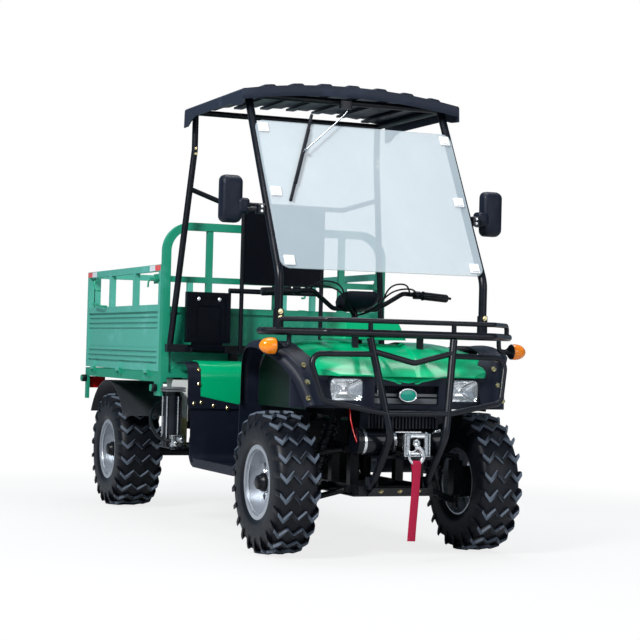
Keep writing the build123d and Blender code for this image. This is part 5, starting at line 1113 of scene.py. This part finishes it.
def screen_trim():
    """Rounded plates laid on the sheet, and bars along straight paths that stand off it."""
    places = on_screen(both(SCREEN_CLIPS).reshape(-1, 3), 0.0001)
    clips = []
    for size, off, corner, depth in SCREEN_CLIP_FORMS:
        feet = places + SCREEN_OUT * off
        clips += [plate(foot, (1, 0, 0), SCREEN_UP, (size, size), corner, depth) for foot in feet]
    put("screen_clips", clips, WHITE_PLASTIC)
    blade = np.linspace(*WIPER_BLADE, 12)
    rubber = carried(rounded(0.014, 0.016, 0.004, 3), on_screen(blade, 0.009), SCREEN_OUT)
    spine = carried(rounded(0.018, 0.005, 0.002, 3), on_screen(blade[2:-2], 0.017), SCREEN_OUT)
    put("wiper_blade", [rubber, spine], BLACK_TUBE)
    link = np.concatenate([WIPER_LINK[:1], on_screen(WIPER_LINK[1:], 0.026)])
    arm = carried(rounded(0.006, 0.004, 0.0015, 3), softened(link, 2), SCREEN_OUT)
    put("wiper_link", [arm, lathe(rod(-0.012, 0.006, 0.008), link[-1], SCREEN_OUT, 16)], ZINC)
    put("wiper_motor", [block((-0.06, -0.804, 2.048), (0.0, -0.775, 2.09), 0.006)], BLACK_TUBE)


# Mirrors: a tall shell with a boss towards the pillar, silvered glass on the rider's side, an arm and a clamp
# Depth in front of the glass, share of the outline
MIRROR_LEVELS = np.array([
    (0, 0), (0, 0.97), (0.004, 1), (0.026, 1), (0.042, 0.95), (0.052, 0.83), (0.057, 0.62), (0.058, 0),
])
# Size, centre, corner radius: the shell and its boss
MIRROR_FORMS = (
    ((0.104, 0.214), (0.660, -0.950, 1.574), 0.028),
    ((0.060, 0.072), (0.606, -0.955, 1.545), 0.016),
)
MIRROR_GLASS = (0.660, -0.9502, 1.574)
MIRROR_ARM = ((0.606, -0.985, 1.535), (0.580, -1.010, 1.532), (0.548, -1.040, 1.530))


def mirrors():
    """Rounded outlines at a row of depths, wide at the glass and closing towards the front."""
    depth, share = MIRROR_LEVELS.T[:, :, None]
    shells, faces, joints = [], [], []
    for size, centre, corner in MIRROR_FORMS:
        rows = standing(rounded(*size, corner, 8) * share[..., None], -depth)
        shells.append(Shell(both(rows + centre)))
    for _, side in SIDES:
        glass = mirrored(MIRROR_GLASS, side)
        faces.append(plate(glass, (-1, 0, 0), (0, 0, 1), (0.088, 0.196), 0.021, 0.0012))
        joints.append(pipe(mirrored(softened(MIRROR_ARM, 2), side), 0.0105, (0, 0, 1)))
        joints.append(block((side * 0.5225, -1.058, 1.508), (side * 0.560, -1.020, 1.553), 0.005))
    put("mirror_shells", shells, NAVY_PLASTIC, replaces=["mirrors"], sharp=50)
    put("mirror_faces", faces, MIRROR_FACE)
    put("mirror_arms", joints, BLACK_TUBE)
    clamp = ((0.541, -1.0581, 1.520), (0.541, -1.0581, 1.541))
    bolts("mirror_bolts", both(clamp), FRONT, 0.0042, 0.004, ZINC)


# Bed: reflective tape on the ends of the top rails, loop handles, spring latches and rubber stops
SIDE_FACE_X = 0.620
TAPE_Z = 1.304
TAPE_WIDTH = 0.029
# Start and end along the rail
TAPES = (
    (0.170, 0.262, RED_TAPE), (0.264, 0.356, WHITE_TAPE),
    (1.382, 1.474, WHITE_TAPE), (1.476, 1.568, RED_TAPE),
)
GATE_FACE_Y = 1.5702
GRAB_HANDLE = ((0.619, 1.155, 1.118), (0.652, 1.155, 1.118), (0.652, 1.340, 1.134), (0.619, 1.340, 1.134))
HASP_HANDLE = ((0.619, 1.300, 1.210), (0.645, 1.300, 1.210), (0.645, 1.352, 1.262), (0.619, 1.352, 1.262))
LATCH = (0.632, 0.235, 1.248)
LATCH_LEVER = ((0.632, 0.290, 1.248), (0.646, 0.290, 1.240), (0.648, 0.290, 1.205))
BED_STOPS = ((SIDE_FACE_X, 0.190, 0.690), (SIDE_FACE_X, 1.548, 0.706))


def tape(centre, right, length):
    """A thin strip of tape on an upright face."""
    return plate(centre, right, (0, 0, 1), (length, TAPE_WIDTH), 0.001, 0.0006, 0.0002)


def bed_trim():
    """Thin plates on the rails, round bars along bent paths, and profiles turned about pins."""
    for name, side in SIDES:
        body = f"side_{name}"
        outward = (0, side, 0)
        for n, (start, end, finish) in enumerate(TAPES):
            strip = tape((side * SIDE_FACE_X, (start + end) / 2, TAPE_Z), outward, end - start)
            put(f"tape_{name}_{n}", [strip], finish, body)
        paths = [mirrored(bent(path, 0.016), side) for path in (GRAB_HANDLE, HASP_HANDLE)]
        bars = [pipe(path, 0.0062, (0.1, -0.3, 1)) for path in paths]
        put(f"handles_{name}", bars, SHADED_BED_GREEN, body)
        centre = mirrored(LATCH, side)
        latch = [
            lathe(rod(-0.045, 0.045, 0.011), centre, (0, 1, 0), 16),
            lathe(rod(-0.06, 0.07, 0.006), centre, (0, 1, 0), 12),
            plate((side * 0.6195, *LATCH[1:]), outward, (0, 0, 1), (0.08, 0.05), 0.004, 0.003),
            pipe(mirrored(softened(LATCH_LEVER, 2), side), 0.0048, FRONT),
        ]
        put(f"latch_{name}", latch, SHADED_BED_GREEN, body)
    pad = ((0, 0), (0, 0.0185), (0.006, 0.0205), (0.024, 0.0205), (0.0318, 0.016), (0.0318, 0))
    stops = [lathe(pad, mirrored(BED_STOPS, side), (side, 0, 0), 24) for _, side in SIDES]
    put("bed_stops", stops, BLACK_RUBBER, "bed")
    strips = [tape((x, GATE_FACE_Y, TAPE_Z), (-1, 0, 0), 0.12) for x in (-0.5, 0.5)]
    put("gate_tape", strips, RED_TAPE, "tailgate")


# Chequer plate on the headboard panel: lens-shaped raised bars, turned by turns
CHEQUER_HALF = (0.017, 0.0045)
CHEQUER_RISE = 0.0016
CHEQUER_PITCH = 0.0392
CHEQUER_Y = 0.1371
CHEQUER_LOWEST_Z = 0.793


def chequer_plate():
    """Each bar is the cap of an ellipsoid: a share of the ellipse's outline, raised by one less the square
    of the share. Bars stand on a square lattice, leaning one way and the other by turns."""
    share = np.array([1, 0.75, 0.4, 0])[:, None]
    flat = circle(1, 10) * CHEQUER_HALF * share[..., None]
    column, row = (n.reshape(-1, 1, 1) for n in np.meshgrid(np.arange(-14, 15), np.arange(8), indexing="ij"))
    lean = np.where((column + row) % 2 == 0, pi / 4, -pi / 4)
    x = flat[..., 0] * np.cos(lean) - flat[..., 1] * np.sin(lean) + column * CHEQUER_PITCH
    z = flat[..., 0] * np.sin(lean) + flat[..., 1] * np.cos(lean) + row * CHEQUER_PITCH + CHEQUER_LOWEST_Z
    y = np.broadcast_to(CHEQUER_Y - (1 - share**2) * CHEQUER_RISE, x.shape)
    put("chequer_bars", [Shell(np.stack([x, y, z], axis=-1))], SHADED_BED_GREEN, "bed")


# Bolts where the photograph shows them: name, places, facing, radius, height, then finish and body if special
FENDER_BOLTS = ((0.462, -1.4055, 0.839), (0.462, -1.4525, 0.766), (0.468, -1.4835, 0.699))
FOOTWELL_BOLTS = (
    (0.515, -0.1085, 0.622), (0.476, -0.1085, 0.628), (0.412, -0.1085, 0.613), (0.338, -0.1085, 0.602),
)
BOLT_ROWS = (
    ("fender", both(FENDER_BOLTS), (0, -0.9, 0.42), 0.0095, 0.006),
    ("pillar", both([(0.506, -1.2285, z) for z in (1.070, 1.042)]), FRONT, 0.0085, 0.007),
    ("footwell", both(FOOTWELL_BOLTS), FRONT, 0.0085, 0.005),
    ("flare", both((0.490, -0.1032, 0.720)), FRONT, 0.0085, 0.005),
    ("flare_top", both((0.486, -0.0855, 0.7915)), (0, -0.85, 0.53), 0.0085, 0.005),
    ("skid", [(x, -1.43, 0.295) for x in (-0.092, -0.001, 0.09)], (0, -0.528, -0.849), 0.0085, 0.006),
    ("jump_seat", [(x, 0.0138, 1.148) for x in (-0.463, -0.353)], FRONT, 0.007, 0.004, ZINC, "jump_seat"),
    ("rear_pillar", both([(0.505, 0.0025, z) for z in (1.906, 1.878)]), FRONT, 0.005, 0.005),
)


# Black wall of each footwell where it laps up over the green cover, higher towards the outside
LAP_X = (0.206, 0.5445)
LAP_Y = (-0.1031, -0.1082)
LAP_LOW_Z = 0.596
LAP_TOP_Z = 0.611
LAP_CLIMB = 0.052


def lap_panels():
    """A sheet between a level lower line and a sloping upper line, thickened towards the front."""
    share = np.linspace(0, 1, 20)
    x = np.interp(share, (0, 1), LAP_X)
    top = LAP_TOP_Z + LAP_CLIMB * np.clip(share / 0.85, 0, 1) ** 1.2
    low = np.full(20, LAP_LOW_Z)
    back, front = (np.full(20, y) for y in LAP_Y)
    section = ((x, back, low), (x, front, low + 0.002), (x, front, top - 0.002), (x, back, top))
    rows = np.stack([np.stack(corner, axis=1) for corner in section], axis=1)
    put("lap_panels", [Shell(both(capped(rows)))], NAVY_PLASTIC)


# Raised rim on the jump seat's board
JUMP_RIM_CENTRE = np.array([-0.407, 0.0185, 1.022])


def jump_seat_frame():
    """A flat bar carried round a rounded rectangle on the board's front."""
    path = JUMP_RIM_CENTRE + standing(rounded(0.125, 0.185, 0.008, 5))
    rim = carried(rounded(0.008, 0.006, 0.002, 3), path, FRONT, closed=True)
    put("jump_seat_rim", [rim], SHADED_BLACK_PANEL, "jump_seat")


# Controls: ribbed grips, cables from the levers down to the column, and a moulded pod with a dark display
GRIP_ENDS = ((0.337, -0.9137, 1.1733), (0.474, -0.8996, 1.1648))
GRIP_RIDGES = 29
CABLE_R = 0.004
POD_OUTLINE = rounded(0.186, 0.134, 0.034, 8)
# Depth, height, share of the outline
POD_LEVELS = np.array([
    (-0.9, 1.094, 0), (-0.9, 1.094, 0.55), (-0.903, 1.104, 0.78), (-0.907, 1.122, 0.96),
    (-0.911, 1.140, 1.0), (-0.916, 1.158, 0.97), (-0.919, 1.168, 0.88), (-0.919, 1.170, 0.82),
    (-0.918, 1.166, 0.78), (-0.918, 1.166, 0),
])


def cable_points(lever_x, rise, n):
    """Route of the left side's cable number n: out of the lever, round the front and down to the column."""
    return (
        (lever_x, -0.938, 1.172),
        (lever_x * 0.85, -0.985, 1.205 + rise),
        (lever_x * 0.45, -1.008, 1.190 + rise),
        (0.07 + n * 0.02, -0.985, 1.115),
        (0.022 + n * 0.01, -0.925, 1.078),
        (0.012, -0.900, 1.072),
    )


def controls():
    """Grips are a rippled profile turned about the bar, cables round bars along softened paths. The pod is
    an outline at a row of levels, each tilted back."""
    steps = 0.006 + np.linspace(0, 0.137, GRIP_RIDGES) * 0.94
    ridges = [(step, 0.0186 + 0.0012 * (n % 2)) for n, step in enumerate(steps)]
    profile = ((0, 0), (0, 0.022), (0.005, 0.022), (0.0055, 0.019), *ridges, (0.1378, 0.013), (0.1378, 0))
    grips = [lathe(profile, start, end - start, 24) for start, end in both(GRIP_ENDS)]
    put("grips", grips, BLACK_RUBBER, "steering")
    for name, side in SIDES:
        for n, (lever_x, rise) in enumerate(((0.300, 0.0), (0.262, 0.022))):
            points = mirrored(cable_points(lever_x, rise, n), side)
            cord(f"cable_{name}_{n}", points, CABLE_R, (0.3, 1, 0.2), BLACK_TUBE, "steering")
    depth, height, share = POD_LEVELS.T[:, :, None]
    wide, deep = POD_OUTLINE.T
    pod = np.stack([share * wide, depth + share * deep * 0.95, height - share * deep * 0.22], axis=-1)
    put("pod_shell", [Shell(pod)], NAVY_PLASTIC, "steering", ["instrument_pod"])
    display = plate((0, -0.918, 1.1664), (1, 0, 0), (0, 0.974, -0.226), (0.138, 0.094), 0.024, 0.0016)
    put("pod_display", [display], DISPLAY, "steering")


# Shock coils: a round wire wound about each damper
SHOCK_HEAD = (0.205, -1.175, 0.642)
COIL_TURNS = 8.5
COIL_R = 0.031
COIL_WIRE_R = 0.0052


def shock_coils():
    """A helix whose pitch is even along the damper's line, as a round bar."""
    low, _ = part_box("front_shocks")
    share = np.linspace(0, 1, 180)[:, None]
    turn = share * 2 * pi * COIL_TURNS
    wires = []
    for foot, head in both([(0.330, -1.175, low[2] + 0.017), SHOCK_HEAD]):
        line = head - foot
        first, second = across(line)
        along = foot + line * (0.24 + share * 0.62)
        path = along + (first * np.cos(turn) + second * np.sin(turn)) * COIL_R
        wires.append(pipe(path, COIL_WIRE_R, line, 8))
    put("shock_coils", wires, BLACK_TUBE)


# Hydraulic unit: filler cap, bright tie rods, lid, valve block with its knobs, and the pressure hose
OIL_CAP = (-0.509, 0.182, 0.7345)
PUMP_AXIS = (-0.570, 0.062)
# Places round the pump's axis
PUMP_RODS = ((-0.040, -0.032), (0.012, -0.051), (-0.050, 0.010))
PUMP_ROD_Z = (0.441, 0.652)
VALVE_FRONT_Y = -0.0345
VALVE_KNOBS = ((-0.585, 0.418), (-0.555, 0.437))
HOSE_R = 0.0085
# From the valve block round the pump's outer side to the rear rail
OIL_HOSE = (
    (-0.600, -0.012, 0.430), (-0.632, 0.0, 0.432), (-0.654, 0.075, 0.458), (-0.648, 0.20, 0.525),
    (-0.585, 0.35, 0.590), (-0.45, 0.41, 0.622), (-0.33, 0.42, 0.630), (-0.2735, 0.42, 0.630),
)


def hydraulics():
    """Profiles turned about upright and level axes, bevelled boxes, and a hose along a softened path."""
    cap = ((0, 0), (0, 0.024), (0.012, 0.024), (0.014, 0.02), (0.014, 0))
    put("oil_cap", [lathe(cap, OIL_CAP, (0, 0, 1), 24)], BLACK_TUBE)
    feet = [np.add(PUMP_AXIS, place) for place in PUMP_RODS]
    rods = [pipe(np.array([(*foot, z) for z in PUMP_ROD_Z]), 0.0045, FRONT, 8) for foot in feet]
    put("pump_rods", rods, ZINC)
    lid = [block((-0.622, 0.008, z), (-0.518, 0.116, z + 0.011), 0.006) for z in (0.676, 0.6885)]
    put("pump_lid", lid, GREY_PLASTIC)
    valve = [block((-0.602, VALVE_FRONT_Y, 0.390), (-0.538, 0.0195, 0.4605), 0.003)]
    knob = ((0, 0), (0, 0.013), (0.02, 0.013), (0.024, 0.009), (0.036, 0.009), (0.036, 0))
    valve += [lathe(knob, (x, VALVE_FRONT_Y, z), (0, -1, 0), 16) for x, z in VALVE_KNOBS]
    put("valve_block", valve, ZINC)
    cord("oil_hose", OIL_HOSE, HOSE_R, (0.2, 0.1, 1), BLACK_RUBBER, sides=12)


for name in ("fl", "fr", "rl", "rr"):
    tyre(name)
    wheel_trim(name)
hood_skin()
roof_skin()
seat_cushion()
fender_skins()
headlamps()
grille_trim()
indicators()
winch_trim()
hook_and_strap()
fairlead()
cord("winch_wire", WINCH_WIRE, WINCH_WIRE_R, (0.3, 1, 0.1), RED_LENS)
bull_bar_tubes()
screen_trim()
mirrors()
bed_trim()
chequer_plate()
for name, *bolt in BOLT_ROWS:
    bolts(f"{name}_bolts", *bolt)
lap_panels()
jump_seat_frame()
controls()
shock_coils()
hydraulics()


# Studio: a pale floor, soft lamps and a white surround
FLOOR_REACH = 40
SKY_COLOUR = rgb(0.60, 0.79, 1.0)
SKY_STRENGTH = 0.34
LAMP_TARGET = (0, 0, 0.8)
# Name, place, size, power
LAMPS = (
    ("sun_side", (-5.6, -4.8, 5.6), 1.8, 780),
    ("front_fill", (2.5, -8.0, 3.2), 4.0, 150),
    ("top", (0.5, 0.3, 6.5), 4.0, 380),
)


def surround():
    """White to the camera's rays, also through glass; a dim blue sky to all others."""
    world = bpy.data.worlds.new("surround")
    bpy.context.scene.world = world
    world.use_nodes = True
    tree = world.node_tree
    tree.nodes.clear()
    rays = tree.nodes.new("ShaderNodeLightPath")
    seen = tree.nodes.new("ShaderNodeMath")
    seen.operation = "MAXIMUM"
    tree.links.new(rays.outputs["Is Camera Ray"], seen.inputs[0])
    tree.links.new(rays.outputs["Is Transmission Ray"], seen.inputs[1])
    sky = tree.nodes.new("ShaderNodeBackground")
    sky.inputs["Color"].default_value = SKY_COLOUR
    sky.inputs["Strength"].default_value = SKY_STRENGTH
    white = tree.nodes.new("ShaderNodeBackground")
    white.inputs["Color"].default_value = rgb(1, 1, 1)
    mix = tree.nodes.new("ShaderNodeMixShader")
    tree.links.new(seen.outputs[0], mix.inputs[0])
    tree.links.new(sky.outputs[0], mix.inputs[1])
    tree.links.new(white.outputs[0], mix.inputs[2])
    output = tree.nodes.new("ShaderNodeOutputWorld")
    tree.links.new(mix.outputs[0], output.inputs[0])


def floor():
    """A flat square that glows a little to the camera, more so far away, and keeps the shadow."""
    mesh = bpy.data.meshes.new("floor")
    corners = [(x * FLOOR_REACH, y * FLOOR_REACH, 0) for x, y in ((-1, -1), (1, -1), (1, 1), (-1, 1))]
    mesh.from_pydata(corners, [], [(0, 1, 2, 3)])
    plane = bpy.data.objects.new("floor", mesh)
    bpy.context.collection.objects.link(plane)
    paint = Finish("floor", Base_Color=rgb(0.55, 0.55, 0.55), Roughness=0.9)
    rays = paint.node("ShaderNodeLightPath", output="Is Camera Ray")
    glow = paint.node("ShaderNodeEmission", {}, {"Color": rgb(1, 1, 1), "Strength": 1.0})
    body = Wire(paint, paint.shader.outputs[0])
    far = (paint.along("X") ** 2 + paint.along("Y") ** 2).between(3.0, 16.0)
    mixed = paint.node("ShaderNodeMixShader", {}, {0: rays * (far * 0.2 + 0.8), 1: body, 2: glow})
    paint.tree.links.new(mixed.socket, paint.tree.nodes["Material Output"].inputs[0])
    mesh.materials.append(paint.material)


def lamps():
    """Square area lamps, each turned to face the vehicle's middle."""
    for name, place, size, power in LAMPS:
        data = bpy.data.lights.new(name, "AREA")
        data.size = size
        data.energy = power
        lamp = bpy.data.objects.new(name, data)
        back = unit(np.subtract(place, LAMP_TARGET))
        right = unit(np.cross((0, 0, 1), back))
        matrix = np.eye(4)
        matrix[:3, :3] = np.stack([right, np.cross(back, right), back], axis=1)
        matrix[:3, 3] = place
        lamp.matrix_world = matrix.T.tolist()
        bpy.context.collection.objects.link(lamp)


bpy.context.scene.view_settings.view_transform = "Standard"
photo_camera()
surround()
floor()
lamps()
